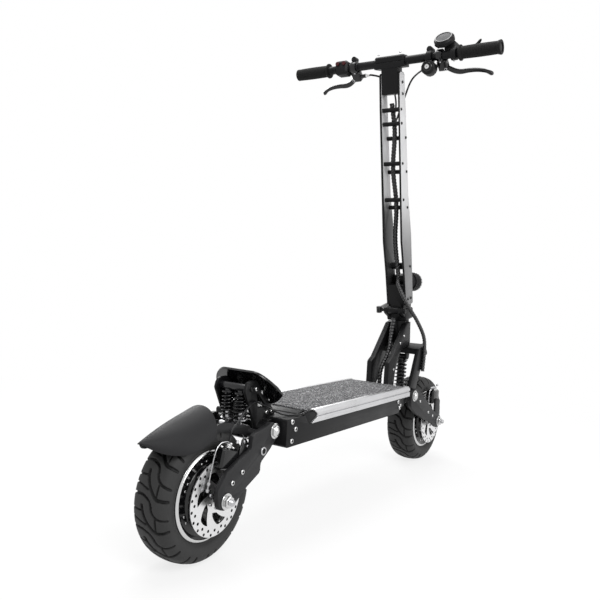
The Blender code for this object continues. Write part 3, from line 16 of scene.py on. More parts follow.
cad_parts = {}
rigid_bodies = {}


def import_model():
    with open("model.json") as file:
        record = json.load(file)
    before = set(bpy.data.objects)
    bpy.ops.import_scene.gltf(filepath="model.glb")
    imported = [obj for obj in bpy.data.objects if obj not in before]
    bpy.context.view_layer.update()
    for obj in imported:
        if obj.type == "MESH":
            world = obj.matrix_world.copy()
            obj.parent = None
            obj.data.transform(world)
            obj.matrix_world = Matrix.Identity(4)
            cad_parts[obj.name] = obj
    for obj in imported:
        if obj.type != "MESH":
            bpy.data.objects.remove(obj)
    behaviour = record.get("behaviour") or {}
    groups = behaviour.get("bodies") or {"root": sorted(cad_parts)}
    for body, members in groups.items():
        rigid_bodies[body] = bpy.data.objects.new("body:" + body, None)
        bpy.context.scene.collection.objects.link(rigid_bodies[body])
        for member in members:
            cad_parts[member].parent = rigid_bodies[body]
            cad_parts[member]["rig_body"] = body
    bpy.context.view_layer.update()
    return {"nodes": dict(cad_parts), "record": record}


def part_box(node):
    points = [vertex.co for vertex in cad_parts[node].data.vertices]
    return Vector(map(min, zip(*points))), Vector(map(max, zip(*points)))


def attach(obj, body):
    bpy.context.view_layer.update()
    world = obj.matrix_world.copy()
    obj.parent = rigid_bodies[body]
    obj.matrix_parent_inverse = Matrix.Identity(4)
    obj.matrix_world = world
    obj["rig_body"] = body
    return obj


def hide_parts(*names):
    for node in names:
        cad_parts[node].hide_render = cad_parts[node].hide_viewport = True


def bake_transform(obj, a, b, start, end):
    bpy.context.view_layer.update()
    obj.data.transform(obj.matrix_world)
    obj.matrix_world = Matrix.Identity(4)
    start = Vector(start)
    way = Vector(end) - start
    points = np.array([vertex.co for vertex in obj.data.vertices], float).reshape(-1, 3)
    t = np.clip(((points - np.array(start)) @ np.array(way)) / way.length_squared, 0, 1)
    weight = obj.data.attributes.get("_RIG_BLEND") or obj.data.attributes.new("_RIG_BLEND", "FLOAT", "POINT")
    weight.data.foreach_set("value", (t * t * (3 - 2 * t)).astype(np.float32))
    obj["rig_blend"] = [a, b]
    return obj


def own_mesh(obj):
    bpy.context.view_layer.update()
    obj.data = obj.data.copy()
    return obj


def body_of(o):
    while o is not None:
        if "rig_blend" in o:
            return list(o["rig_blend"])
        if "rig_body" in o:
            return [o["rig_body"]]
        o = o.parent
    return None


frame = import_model()
joints = {joint["name"]: joint for joint in frame["record"]["behaviour"]["joints"]}

# %% [markdown]
# ## Places to measure from
# Everything below hangs on a few points of the frame: the two axles, the steering axis and the
# middle of the handlebar. Reading them from the solids keeps the new pieces seated on them.

# %% Key points
def middle(node):
    """The middle of a solid's box."""
    low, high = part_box(node)
    return (Vector(low) + Vector(high)) / 2


REAR = middle("rear_axle")
FRONT = middle("front_axle")
BAR = middle("handlebar")
STEER = Vector(joints["steering"]["pos_m"])
UP = Vector(joints["steering"]["axis"]).normalized()
AHEAD = Vector((UP.z, 0, -UP.x))
ARM_FACE = 0.0780  # outer face of both swing arms, from the middle
PIN_R = 0.0060  # axles and pivot pins
HUB = {"rear": REAR, "front": FRONT}
LEAN = {"rear": math.radians(14), "front": 0.0}  # how far each caliper leans round its axle


def stem_point(u, y, s):
    """A point by its distance ahead of the steering axis, to the left, and up along the axis."""
    return STEER + AHEAD * u + Vector((0, y, 0)) + UP * s


def from_rear(x, y, z):
    """A point by its distance ahead of the rear axle."""
    return Vector((REAR.x + x, y, z))


def mm(*points):
    """Points that are given in millimetres."""
    return [tuple(value / 1000 for value in point) for point in points]


def beside(label, x, y, r):
    """A point beside a brake disc: x along its caliper, y to the left and r out from the axle."""
    cosine, sine = math.cos(LEAN[label]), math.sin(LEAN[label])
    return Vector((HUB[label].x + x * cosine + r * sine, y, HUB[label].z - x * sine + r * cosine))


print("rear axle", tuple(REAR), "front axle", tuple(FRONT), "bar", tuple(BAR))

# %% [markdown]
# ## Camera and studio
# The photograph was taken from behind and to the right, a little above half the stem's height.
# A camera was fitted to it once, from the places of the axles, bar, deck and stem, so here it
# only has to be put in that place. The background is white paper with a very faint shadow.

# %% Camera
YAW, PITCH, ROLL = 0.580356, -0.0315529, 0.0556275
EYE = Vector((REAR.x - 0.958357, -0.841327, 0.538519))
FOCAL, PHOTO_WIDTH, SENSOR = 679.336, 600, 36  # two in pixels, the sensor in millimetres
sight = Vector((math.cos(PITCH) * math.cos(YAW), math.cos(PITCH) * math.sin(YAW), math.sin(PITCH)))
level = sight.cross(Vector((0, 0, 1))).normalized()
above = level.cross(sight)
across = math.cos(ROLL) * level + math.sin(ROLL) * above
upright = -math.sin(ROLL) * level + math.cos(ROLL) * above
bpy.ops.object.select_all(action="DESELECT")
bpy.ops.object.camera_add()
camera = bpy.context.object
camera.name = "photo_camera"
camera.matrix_world = Matrix.Translation(EYE) @ Matrix((across, upright, -sight)).transposed().to_4x4()
camera.data.sensor_width = SENSOR
camera.data.lens = FOCAL / PHOTO_WIDTH * SENSOR
bpy.context.scene.camera = camera
bpy.context.scene.view_settings.view_transform = "Standard"
print("camera lens", round(camera.data.lens, 2))

# %% Floor, lamps and world
def node_pen(tree):
    """A command that adds a node to a tree and sets its sockets, each by a value or by a link."""
    def add(kind, sockets=None, **settings):
        node = tree.nodes.new("ShaderNode" + kind)
        for key, value in settings.items():
            setattr(node, key, value)
        for key, value in (sockets or {}).items():
            if isinstance(value, bpy.types.NodeSocket):
                tree.links.new(value, node.inputs[key])
            else:
                node.inputs[key].default_value = value
        return node
    return add


def nodes_of(owner):
    """The same command, for a tree that is emptied first."""
    owner.use_nodes = True
    owner.node_tree.nodes.clear()
    return node_pen(owner.node_tree)


def worked_out(add, operation, first, second):
    """One step of arithmetic between two sockets or numbers."""
    return add("Math", {0: first, 1: second}, operation=operation).outputs[0]


def ranged(add, value, limits, **settings):
    """Carry a value from one range to another: limits are (from, to) and then (from, to) again."""
    labels = ("From Min", "From Max", "To Min", "To Max")
    return add("MapRange", {"Value": value, **dict(zip(labels, limits))}, **settings).outputs["Result"]


def length_of(add, vector):
    return add("VectorMath", {0: vector}, operation="LENGTH").outputs["Value"]


def seen_directly(add):
    """1 for rays that show the background itself: camera, mirror and glass rays."""
    path = add("LightPath").outputs
    either = worked_out(add, "MAXIMUM", path["Is Camera Ray"], path["Is Glossy Ray"])
    return worked_out(add, "MAXIMUM", either, path["Is Transmission Ray"])


def mixed(add, factor, first, second, output):
    """Blend two shaders into an output node."""
    blend = add("MixShader", {0: factor, 1: first.outputs[0], 2: second.outputs[0]})
    add(output, {"Surface": blend.outputs[0]})


WHITE = (1, 1, 1, 1)
bpy.ops.mesh.primitive_plane_add(size=14, location=(0, 0, -0.0005))
floor = bpy.context.object
floor.name = "studio_floor"
paper = bpy.data.materials.new("white_paper")
add = nodes_of(paper)
reach = length_of(add, add("TexCoord").outputs["Object"])
fade = ranged(add, reach, (0.6, 2.0, 0.78, 1.0), interpolation_type="SMOOTHSTEP")
matt = add("BsdfDiffuse", {"Color": (0.9, 0.9, 0.9, 1)})
glow = add("Emission", {"Color": WHITE})
mixed(add, worked_out(add, "MULTIPLY", fade, seen_directly(add)), matt, glow, "OutputMaterial")
floor.data.materials.append(paper)

world = bpy.data.worlds.new("studio")
bpy.context.scene.world = world
add = nodes_of(world)
soft = add("Background", {"Color": WHITE, "Strength": 0.45})
mixed(add, seen_directly(add), soft, add("Background", {"Color": WHITE}), "OutputWorld")


def softbox(name, place, aim, size, power):
    bpy.ops.object.light_add(type="AREA", location=place)
    lamp = bpy.context.object
    lamp.name = name
    lamp.data.shape = "RECTANGLE"
    lamp.data.size, lamp.data.size_y = size
    lamp.data.energy = power
    lamp.rotation_euler = (Vector(aim) - Vector(place)).to_track_quat("-Z", "Y").to_euler()


softbox("key", (-1.6, -2.2, 2.6), (0, 0, 0.4), (1.6, 1.6), 60)
softbox("side", (0.6, -2.6, 0.9), (0.1, 0, 0.4), (1.2, 1.6), 22)
softbox("top", (0.1, 0.4, 2.9), (0, 0, 0.3), (2.0, 1.2), 40)
softbox("back", (1.6, 2.0, 1.6), (0, 0, 0.5), (1.2, 1.6), 30)
print("studio ready")

# %% [markdown]
# ## Finishes
# Almost everything is black, so the parts are told apart by how they shine and by their grain:
# satin anodised alloy, gloss paint, moulded plastic, rubber, brushed silver and polished steel.
# One recipe serves most of them: a coarse noise shifts the colour a little, as handling and dust
# do, a fine noise makes the grain, both reach roughness, and the fine one gives the bump.

# %% The common recipe
def coated(add, sockets):
    """A Principled shader with these sockets, as the surface of its material."""
    add("OutputMaterial", {"Surface": add("BsdfPrincipled", sockets).outputs[0]})


def surface(name, colour, rough, metal, grain, bump, drift=0.25, stretch=(1, 1, 1), coat=0.0, shine=0.5):
    """A Principled finish with slow colour drift, fine grain, uneven gloss and a slight bump."""
    material = bpy.data.materials.new(name)
    add = nodes_of(material)
    spot = add("TexCoord").outputs["Object"]
    turn = add("Mapping", {"Vector": spot, "Scale": stretch}).outputs["Vector"]
    slow = add("TexNoise", {"Vector": spot, "Scale": 14, "Detail": 4}).outputs["Fac"]
    fine = add("TexNoise", {"Vector": turn, "Scale": grain, "Detail": 3}).outputs["Fac"]
    half = worked_out(add, "MULTIPLY", worked_out(add, "ADD", slow, fine), 0.5)
    tint = add("ValToRGB", {"Fac": half})
    low, high = tint.color_ramp.elements
    low.position, high.position = 0.3, 0.7
    low.color = (*(max(0, c * (1 - drift)) for c in colour), 1)
    high.color = (*(min(1, c * (1 + drift)) for c in colour), 1)
    gloss = ranged(add, half, (0.35, 0.65, max(0.02, rough - 0.07), min(1, rough + 0.07)))
    relief = add("Bump", {"Height": fine, "Strength": bump, "Distance": 0.0006})
    coated(add, {"Base Color": tint.outputs["Color"], "Metallic": metal, "Roughness": gloss,
                 "Normal": relief.outputs["Normal"], "Specular IOR Level": shine,
                 "Coat Weight": coat, "Coat Roughness": 0.08})
    return material


FINISH = {
    "alloy": surface("satin_black_alloy", (0.005, 0.005, 0.0055), 0.38, 0.0, 1600, 0.06, shine=0.16),
    "tub": surface("brushed_black_alloy", (0.005, 0.005, 0.0055), 0.42, 0.0, 900, 0.16, 0.4,
                   (0.03, 1, 1), shine=0.14),
    "arm": surface("bead_blasted_black", (0.013, 0.013, 0.014), 0.50, 0.0, 2200, 0.10, shine=0.24),
    "gloss": surface("gloss_black_paint", (0.003, 0.003, 0.0035), 0.17, 0.0, 500, 0.015,
                     shine=0.35, coat=0.2),
    "plastic": surface("moulded_black", (0.005, 0.005, 0.0055), 0.45, 0.0, 1800, 0.12, shine=0.18),
    "fender": surface("grained_dark_grey", (0.014, 0.014, 0.015), 0.52, 0.0, 1400, 0.22, shine=0.17),
    "rubber": surface("black_rubber", (0.006, 0.006, 0.006), 0.66, 0.0, 1200, 0.12, shine=0.18),
    "tread": surface("tyre_rubber", (0.026, 0.026, 0.026), 0.62, 0.0, 700, 0.16, drift=0.35, shine=0.26),
    "silver": surface("brushed_silver", (0.58, 0.58, 0.59), 0.32, 0.9, 900, 0.05, 0.10, (0.02, 1, 1)),
    "side": surface("satin_stem_face", (0.42, 0.42, 0.425), 0.42, 0.0, 900, 0.05, 0.16, (1, 1, 0.03)),
    "bright": surface("polished_steel", (0.60, 0.60, 0.60), 0.18, 1.0, 700, 0.02, 0.10),
    "steel": surface("ground_steel", (0.46, 0.46, 0.47), 0.26, 1.0, 1100, 0.04, 0.12),
    "red": surface("red_plastic", (0.048, 0.004, 0.005), 0.36, 0.0, 900, 0.03, 0.2, shine=0.3),
    "wrap": surface("spiral_wrap", (0.016, 0.016, 0.017), 0.26, 0.0, 900, 0.06, shine=0.5),
    "cable": surface("cable_sheath", (0.005, 0.005, 0.006), 0.34, 0.0, 900, 0.04, shine=0.3),
    "coil": surface("powder_coated_coil", (0.006, 0.006, 0.007), 0.28, 0.0, 1500, 0.05,
                    coat=0.15, shine=0.35),
    "shrink": surface("dark_shrink_wrap", (0.010, 0.011, 0.014), 0.42, 0.0, 300, 0.12),
    # Painted shade for the walls of holes and windows and the insides of sunk drives.
    "recess": surface("shaded_recess", (0.010, 0.010, 0.010), 0.60, 0.0, 900, 0.05, shine=0.1),
    "glass": surface("dark_glass", (0.020, 0.021, 0.023), 0.30, 0.0, 200, 0.0, shine=0.10),
    "lens": surface("clear_lens", (0.55, 0.56, 0.58), 0.10, 0.0, 260, 0.10, 0.12, coat=0.8),
}
print("finishes:", len(FINISH))

# %% [markdown]
# The stem's pale faces carry painted light: a painted reflection makes them brightest below the
# bar, and painted shade makes them duller toward the folding foot. The faces between the two plates
# are painted dark sooner, as painted shade where the plates are wide and shade each other. The tint
# is scaled by the height on the plate, so it stays with the plate when the stem folds.

# %% Painted reflection and painted shade, duller toward the foot
def tint_socket(material):
    """The socket through which a finish takes its colour."""
    shader = next(node for node in material.node_tree.nodes if node.type == "BSDF_PRINCIPLED")
    return shader.inputs["Base Color"]


def paint_light_and_shade_by_height(material, outside, inside):
    """Scale a finish's tint with height as painted reflection and painted shade: each fade is (bottom, top,
    dull, clear).
    """
    add, tint = node_pen(material.node_tree), tint_socket(material)
    spot = add("TexCoord").outputs
    place, normal = (add("SeparateXYZ", {0: spot[key]}).outputs for key in ("Object", "Normal"))
    outward = worked_out(add, "MULTIPLY", place["Y"], normal["Y"])
    inner, outer = (ranged(add, place["Z"], fade, interpolation_type="SMOOTHSTEP")
                    for fade in (inside, outside))
    pick = add("Mix", {"Factor": worked_out(add, "GREATER_THAN", outward, 0.0), "A": inner, "B": outer})
    scaled = add("VectorMath", {0: tint.links[0].from_socket, "Scale": pick.outputs["Result"]},
                 operation="SCALE")
    material.node_tree.links.new(scaled.outputs["Vector"], tint)


# Painted reflection high on the stem's pale faces, painted shade toward the foot and between the plates.
paint_light_and_shade_by_height(FINISH["side"], (0.60, 0.82, 0.36, 1.22), (0.73, 0.80, 0.06, 1.30))

# %% [markdown]
# The grip mat is the one surface that sparkles: hard grit in dark binder. Small Voronoi cells
# stand for the grains, a few of them pale, and the same cells give the bump.

# %% Grip mat
GRAINS = ((0.15, (0.030, 0.030, 0.032, 1)), (0.72, (0.085, 0.085, 0.088, 1)), (1.0, (0.50, 0.50, 0.51, 1)))


def grit(name):
    """Grains of three tones, each one a small cell."""
    material = bpy.data.materials.new(name)
    add = nodes_of(material)
    cells = add("TexVoronoi", {"Vector": add("TexCoord").outputs["Object"], "Scale": 460}).outputs
    tone = add("ValToRGB", {"Fac": add("SeparateColor", {"Color": cells["Color"]}).outputs[0]})
    tone.color_ramp.elements.new(0.5)
    for stop, (place, colour) in zip(tone.color_ramp.elements, GRAINS):
        stop.position, stop.color = place, colour
    relief = add("Bump", {"Height": cells["Distance"], "Strength": 0.7, "Distance": 0.0012})
    coated(add, {"Base Color": tone.outputs["Color"], "Roughness": 0.9, "Normal": relief.outputs["Normal"]})
    return material


def paint_groove_shade(material):
    """Darken a finish where a surface is cut in, as painted shade in the grooves."""
    add, tint = node_pen(material.node_tree), tint_socket(material)
    depth = add("Attribute", attribute_name="groove").outputs["Fac"]
    mix = add("Mix", {"Factor": ranged(add, depth, (0, 0.0022, 0, 1)), "A": tint.links[0].from_socket,
                      "B": (0.0015, 0.0015, 0.0015, 1)}, data_type="RGBA")
    material.node_tree.links.new(mix.outputs["Result"], tint)


FINISH["grit"] = grit("grip_grit")
# Painted shade in the tyre's grooves and in the gaps of the spiral wrap.
for name in ("tread", "wrap"):
    paint_groove_shade(FINISH[name])
print("grip mat ready")

# %% [markdown]
# ## Dress the solids that stay
# Nearly every solid is stood for by a finer piece below. The two blocks inside the deck keep their mesh.

# %% Battery and controller
for node, finish in (("battery_pack", "shrink"), ("motor_controller", "silver")):
    block = frame["nodes"][node]
    block.data.materials.clear()
    block.data.materials.append(FINISH[finish])
print("dressed the blocks inside the deck")

# %% [markdown]
# ## Workshop helpers
# Each new piece starts as a primitive, is shaped, and then has its place pressed into its mesh,
# so that its object sits at the origin and its grain stays put. These helpers do the common steps.

# %% Helpers
def fresh():
    """Leave edit mode and let go of everything."""
    if bpy.context.object and bpy.context.object.mode != "OBJECT":
        bpy.ops.object.mode_set(mode="OBJECT")
    bpy.ops.object.select_all(action="DESELECT")


def only(piece):
    fresh()
    piece.select_set(True)
    bpy.context.view_layer.objects.active = piece


def edit_all(piece):
    """Open a piece in edit mode with all of it selected."""
    only(piece)
    bpy.ops.object.mode_set(mode="EDIT")
    bpy.ops.mesh.select_all(action="SELECT")


def facing(direction):
    """The turn that points a piece's own Z along a direction."""
    return Vector(direction).to_track_quat("Z", "Y").to_matrix().to_4x4()


def pick_faces(piece, test):
    """Select the faces that pass a test, in edit mode."""
    only(piece)
    bpy.ops.object.mode_set(mode="EDIT")
    bpy.ops.mesh.select_mode(type="FACE")
    mesh = bmesh.from_edit_mesh(piece.data)
    for face in mesh.faces:
        face.select_set(test(face))
    bmesh.update_edit_mesh(piece.data)


def apply_modifier(piece, kind, **settings):
    only(piece)
    modifier = piece.modifiers.new(kind.lower(), kind)
    for key, value in settings.items():
        setattr(modifier, key, value)
    bpy.ops.object.modifier_apply(modifier=modifier.name)


def bevelled(piece, width, angle=33, segments=2, **settings):
    """Round over every edge sharper than an angle."""
    apply_modifier(piece, "BEVEL", width=width, segments=segments, limit_method="ANGLE",
                   angle_limit=math.radians(angle), **settings)
    return piece


def cut_out(piece, tool):
    """Take a tool's shape out of a piece; the tool is used up."""
    apply_modifier(piece, "BOOLEAN", operation="DIFFERENCE", object=tool, solver="EXACT", use_self=False)
    bpy.data.objects.remove(tool, do_unlink=True)


def settle(piece, place):
    """Press a place into a piece's mesh and leave its object at the origin."""
    piece.data.transform(place @ piece.matrix_basis)
    piece.matrix_basis = Matrix.Identity(4)
    return piece


def joined(pieces):
    fresh()
    for piece in pieces:
        piece.select_set(True)
    bpy.context.view_layer.objects.active = pieces[0]
    if len(pieces) > 1:
        bpy.ops.object.join()
    return bpy.context.object


def mark(piece, test):
    """Mark the faces that pass a test, to take a second finish."""
    flags = [bool(test(face)) for face in piece.data.polygons]
    piece.data.attributes.new("marked", "BOOLEAN", "FACE").data.foreach_set("value", flags)


def hand_over(piece, name, finish, body, angle, node=None, second="recess"):
    """Name a piece, finish it, let it ride on its body and stand for a solid."""
    edit_all(piece)
    bpy.ops.mesh.normals_make_consistent(inside=False)
    bpy.ops.object.mode_set(mode="OBJECT")
    bpy.ops.object.shade_smooth_by_angle(angle=math.radians(angle))
    piece.name = name
    piece.data.name = name
    piece.data.materials.clear()
    piece.data.materials.append(FINISH[finish])
    marks = piece.data.attributes.get("marked")
    if marks:
        piece.data.materials.append(FINISH[second])
        for face, flag in zip(piece.data.polygons, marks.data):
            face.material_index = int(flag.value)
    if body:
        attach(piece, body)
    if node:
        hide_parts(node)
    print("made", name, len(piece.data.polygons), "faces")
    return piece


def copies(pattern, places):
    """Copies of one pattern at many places, joined into one mesh; the pattern is used up."""
    made = []
    for place in places:
        piece = pattern.copy()
        piece.data = pattern.data.copy()
        bpy.context.collection.objects.link(piece)
        made.append(settle(piece, place))
    bpy.data.objects.remove(pattern, do_unlink=True)
    return joined(made)


def at(point, direction):
    return Matrix.Translation(Vector(point)) @ facing(direction)


def grid_skin(columns, rows, shape, groove=None):
    """A flat grid laid on a surface: u and v run from 0 to 1, shape gives points and groove a depth."""
    fresh()
    bpy.ops.mesh.primitive_grid_add(x_subdivisions=columns, y_subdivisions=rows, size=2)
    piece = bpy.context.object
    flat = np.empty(len(piece.data.vertices) * 3)
    piece.data.vertices.foreach_get("co", flat)
    flat = flat.reshape(-1, 3)
    u, v = (flat[:, 0] + 1) / 2, (flat[:, 1] + 1) / 2
    if groove:
        depth = piece.data.attributes.new("groove", "FLOAT", "POINT").data
        depth.foreach_set("value", groove(u, v).astype(np.float32))
    piece.data.vertices.foreach_set("co", shape(u, v).astype(np.float32).ravel())
    piece.data.update()
    edit_all(piece)
    bpy.ops.mesh.remove_doubles(threshold=0.00002)
    bpy.ops.object.mode_set(mode="OBJECT")
    return piece


def through(points, count):
    """A smooth curve through points, sampled evenly along its length."""
    points = np.array([tuple(point) for point in points], float)
    ends = np.vstack([2 * points[0] - points[1], points, 2 * points[-1] - points[-2]])
    fine = []
    for a, b, c, d in zip(ends, ends[1:], ends[2:], ends[3:]):
        t1 = np.linalg.norm(b - a) ** 0.5
        t2 = t1 + np.linalg.norm(c - b) ** 0.5
        t3 = t2 + np.linalg.norm(d - c) ** 0.5
        t = np.linspace(t1, t2, 40, endpoint=False)[:, None]
        first = a + (b - a) * t / t1
        second = b + (c - b) * (t - t1) / (t2 - t1)
        third = c + (d - c) * (t - t2) / (t3 - t2)
        early = first + (second - first) * t / t2
        late = second + (third - second) * (t - t1) / (t3 - t1)
        fine.append(early + (late - early) * (t - t1) / (t2 - t1))
    fine = np.vstack(fine + [points[-1:]])
    along = np.concatenate([[0], np.cumsum(np.linalg.norm(np.diff(fine, axis=0), axis=1))])
    even = np.linspace(0, along[-1], count)
    return np.stack([np.interp(even, along, fine[:, k]) for k in range(fine.shape[1])], 1)


print("helpers ready")

# %% [markdown]
# ## Tyres
# A tubeless road tyre: round shoulders, a fairly flat crown, grooves that cross it in a lazy S, wide hooks
# that leave the middle, and thin sipes between them. Carving that many grooves by hand would take
# days, so a fine grid is wrapped round the tyre's section and each point is sunk by its distance from
# the nearest groove. The depth is kept as an attribute too, so that painted shade can darken the grooves.

# %% Tyre
TYRE_R = REAR.z
SECTION = mm((79, 30), (85, 31.2), (93, 37.2), (102, 39.8), (111.5, 38.5), (119, 33.5), (123.7, 26),
             (126.2, 16.5), (127.5, 6))
TREAD_PITCH = math.tau / 13
TREAD_START = 0.357  # share of a pitch from the lowest point to the first groove
SHOULDER = 0.037  # half width of the tread
TREAD_FROM, TREAD_EASE = 0.108, 0.005  # radius at which the cuts begin, and how soon they are full
CROWN_FROM, CROWN_SHARE = 0.106, 2.4  # past this radius the rows lie closer together
BEAD = 0.0790  # inner radius
WALL_RINGS = ((0.0006, 0.0945, 0.0007), (0.0005, 0.1045, 0.0006))  # height, radius and width of each
ROUND, ACROSS = 768, 96  # grid of the tyre's skin
GROOVES = (  # half width, depth, and places by share of the half tread to the right and share of a pitch
    (0.0028, 0.0045, ((-1.06, 0.03), (-0.75, 0.00), (-0.20, 0.00), (0.00, 0.045), (0.23, 0.135), (0.36, 0.29),
                      (0.42, 0.44), (0.68, 0.62), (1.06, 0.72))),
    (0.0037, 0.0046, ((-0.18, 0.31), (-0.09, 0.50), (0.09, 0.71), (0.36, 0.92), (0.59, 1.06), (1.06, 1.10))),
    (0.0021, 0.0032, ((-1.06, 0.46), (-0.60, 0.44), (-0.20, 0.445))),
    (0.0021, 0.0032, ((-1.06, 0.70), (-0.63, 0.71), (0.05, 0.83))),
    (0.0020, 0.0030, ((0.61, 0.62), (0.61, 1.04))),
)


def sunk(distance, width):
    """1 in the middle of a groove, falling to 0 at its edges."""
    near = np.clip((width - np.abs(distance)) / (0.5 * width), 0, 1)
    return near * near * (3 - 2 * near)


def off_line(across, along, line):
    """Distance to a line on the unrolled tread."""
    nearest = np.full(across.shape, 1.0)
    for (x, y), (far_x, far_y) in zip(line, line[1:]):
        run_x, run_y = far_x - x, far_y - y
        share = np.clip(((across - x) * run_x + (along - y) * run_y) / (run_x ** 2 + run_y ** 2), 0, 1)
        nearest = np.minimum(nearest, np.hypot(across - x - share * run_x, along - y - share * run_y))
    return nearest


def tread_depth(angle, side):
    """How deep the tread is cut at an angle round the tyre and a distance from its middle line."""
    length = TREAD_PITCH * TYRE_R
    along = (angle / TREAD_PITCH - TREAD_START) % 1 * length
    depth = np.zeros_like(side)
    for width, deep, spots in GROOVES:
        line = through([(x * SHOULDER, y * length) for x, y in spots], 4 * len(spots))
        for turn in (-1, 0, 1):
            depth = np.maximum(depth, deep * sunk(off_line(-side, along + turn * length, line), width))
    return depth


def tyre(label):
    """A tyre's skin, round its axle from the lowest point."""
    hub = HUB[label]
    outer = SECTION + [(r, -y) for r, y in reversed(SECTION)]
    inner = [(BEAD, -0.010), (BEAD, 0.010)]
    fine = through([*outer, *inner, outer[0]], 600)
    weight = np.cumsum(np.where(fine[:, 0] > CROWN_FROM, CROWN_SHARE, 1.0))
    rows = np.linspace(weight[0], weight[-1], ACROSS + 1)
    loop = np.stack([np.interp(rows, weight, fine[:, k]) for k in range(2)], 1)

    def section(v):
        row = v * (len(loop) - 1)
        return [np.interp(row, np.arange(len(loop)), loop[:, k]) for k in range(2)]

    def cut(u, v):
        radius, side = section(v)
        return np.clip((radius - TREAD_FROM) / TREAD_EASE, 0, 1) * tread_depth(u * math.tau, side)

    def shape(u, v):
        angle = u * math.tau
        radius, side = section(v)
        for tall, place, wide in WALL_RINGS:
            side = side + np.sign(side) * tall * np.exp(-((radius - place) / wide) ** 2)
        radius = radius - cut(u, v)
        return np.stack([hub.x + radius * np.sin(angle), side, hub.z - radius * np.cos(angle)], 1)

    skin = grid_skin(ROUND, ACROSS, shape, cut)
    hand_over(skin, label + "_tyre_tread", "tread", label + "_wheel", 50, label + "_tyre")


for label in HUB:
    tyre(label)

# %% [markdown]
# ## Brake discs
# A disc is a thin plate with swept windows and rings of small holes that shed water. It is drawn flat:
# a filled outline is extruded, and one joined set of cutters opens every window and hole at once.

# %% Brake disc
def flat_plate(points, thickness):
    """A plate in its own X-Y plane: a filled outline, extruded."""
    fresh()
    bpy.ops.mesh.primitive_circle_add(vertices=len(points), fill_type="NGON")
    piece = bpy.context.object
    for vertex, (x, y) in zip(piece.data.vertices, points):
        vertex.co = (x, y, -thickness / 2)
    edit_all(piece)
    bpy.ops.mesh.extrude_region_move(TRANSFORM_OT_translate={"value": (0, 0, thickness)})
    bpy.ops.mesh.select_all(action="SELECT")
    bpy.ops.mesh.normals_make_consistent(inside=False)
    bpy.ops.object.mode_set(mode="OBJECT")
    return piece


def polar(radius, angle):
    return radius * math.cos(angle), radius * math.sin(angle)


def ring_points(radius, count, centre=(0, 0)):
    spots = [polar(radius, math.tau * k / count) for k in range(count)]
    return [(centre[0] + x, centre[1] + y) for x, y in spots]


WINDOW = [(0.0265, 0.16), (0.0255, 0.34), (0.0265, 0.62), (0.033, 0.80), (0.042, 0.98), (0.0505, 1.13),
          (0.0515, 1.02), (0.0515, 0.86), (0.0510, 0.70), (0.0490, 0.62), (0.041, 0.45), (0.033, 0.27)]
SPOKES, HOLES = 6, 20
HOLE_ROWS = (0.0588, 0.0662)
BORE, HOLE_R, BOLT_HOLE_R = 0.0085, 0.0029, 0.0022
DISC_BOLTS = [math.tau * (k + 0.5) / 6 for k in range(6)]
BOLT_RING = 0.0175


def disc(label):
    """One brake disc with its bore, windows, holes and bolt holes."""
    node = label + "_rotor"
    low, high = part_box(node)
    radius = (high[0] - low[0]) / 2
    plate = flat_plate(ring_points(radius, 120), high[1] - low[1])
    outlines = [ring_points(BORE, 24)]
    outlines += [[polar(r, math.tau * spoke / SPOKES + a) for r, a in WINDOW] for spoke in range(SPOKES)]
    outlines += [ring_points(HOLE_R, 12, polar(place, math.tau * (hole + 0.5 * row) / HOLES))
                 for row, place in enumerate(HOLE_ROWS) for hole in range(HOLES)]
    outlines += [ring_points(BOLT_HOLE_R, 10, polar(BOLT_RING, a)) for a in DISC_BOLTS]
    cut_out(plate, joined([flat_plate(outline, 0.01) for outline in outlines]))
    # The walls of the bore, windows and holes take the recess finish: painted shade inside the cuts.
    mark(plate, lambda face: abs(face.normal.z) < 0.5 and face.center.xy.length < radius - 0.002)
    settle(plate, at(middle(node), (0, -1, 0)))
    hand_over(plate, label + "_disc", "disc", label + "_wheel", 30, node)


def turned_steel(name, hub):
    """Ground steel whose grain runs in rings round an axle."""
    material = bpy.data.materials.new(name)
    add = nodes_of(material)
    shift = add("Mapping", {"Vector": add("TexCoord").outputs["Object"], "Location": (-hub.x, 0, -hub.z),
                            "Scale": (1, 0, 1)})
    reach = length_of(add, shift.outputs["Vector"])
    rings = add("TexNoise", {"W": reach, "Scale": 2600, "Detail": 3}, noise_dimensions="1D").outputs["Fac"]
    tone = add("ValToRGB", {"Fac": rings})
    for stop, grey in zip(tone.color_ramp.elements, ((0.60, 0.60, 0.61, 1), (0.90, 0.90, 0.90, 1))):
        stop.color = grey
    coated(add, {"Base Color": tone.outputs["Color"], "Metallic": 1.0,
                 "Roughness": ranged(add, rings, (0, 1, 0.20, 0.40))})
    return material


for label, hub in HUB.items():
    FINISH["disc"] = turned_steel(label + "_disc_steel", hub)
    disc(label)

# %% [markdown]
# ## Motor covers and rims
# The hub motors are glossy black drums with turned grooves and pairs of small screws, inside a rim
# whose lip is bare polished metal. A lathe makes such parts, so here an outline is spun round the
# axle. A ring of separate cylinders would also do, but would leave seams where the steps meet.

# %% Turned pieces and screw heads
def turned(profile, steps):
    """Spin a closed outline of (radius, height) points once round Z."""
    fresh()
    bpy.ops.mesh.primitive_circle_add(vertices=len(profile), fill_type="NOTHING")
    piece = bpy.context.object
    for vertex, (radius, height) in zip(piece.data.vertices, profile):
        vertex.co = (radius, 0, height)
    edit_all(piece)
    bpy.ops.mesh.spin(steps=steps, angle=math.tau, center=(0, 0, 0), axis=(0, 0, 1))
    bpy.ops.mesh.select_all(action="SELECT")
    bpy.ops.mesh.remove_doubles(threshold=0.00001)
    bpy.ops.mesh.dissolve_degenerate(threshold=0.000001)
    bpy.ops.mesh.normals_make_consistent(inside=False)
    bpy.ops.object.mode_set(mode="OBJECT")
    return piece


def lathed(name, profile, steps, place, finish, body="stem", angle=30, node=None):
    """One turned piece, put in place and handed over."""
    hand_over(settle(turned(profile, steps), place), name, finish, body, angle, node)


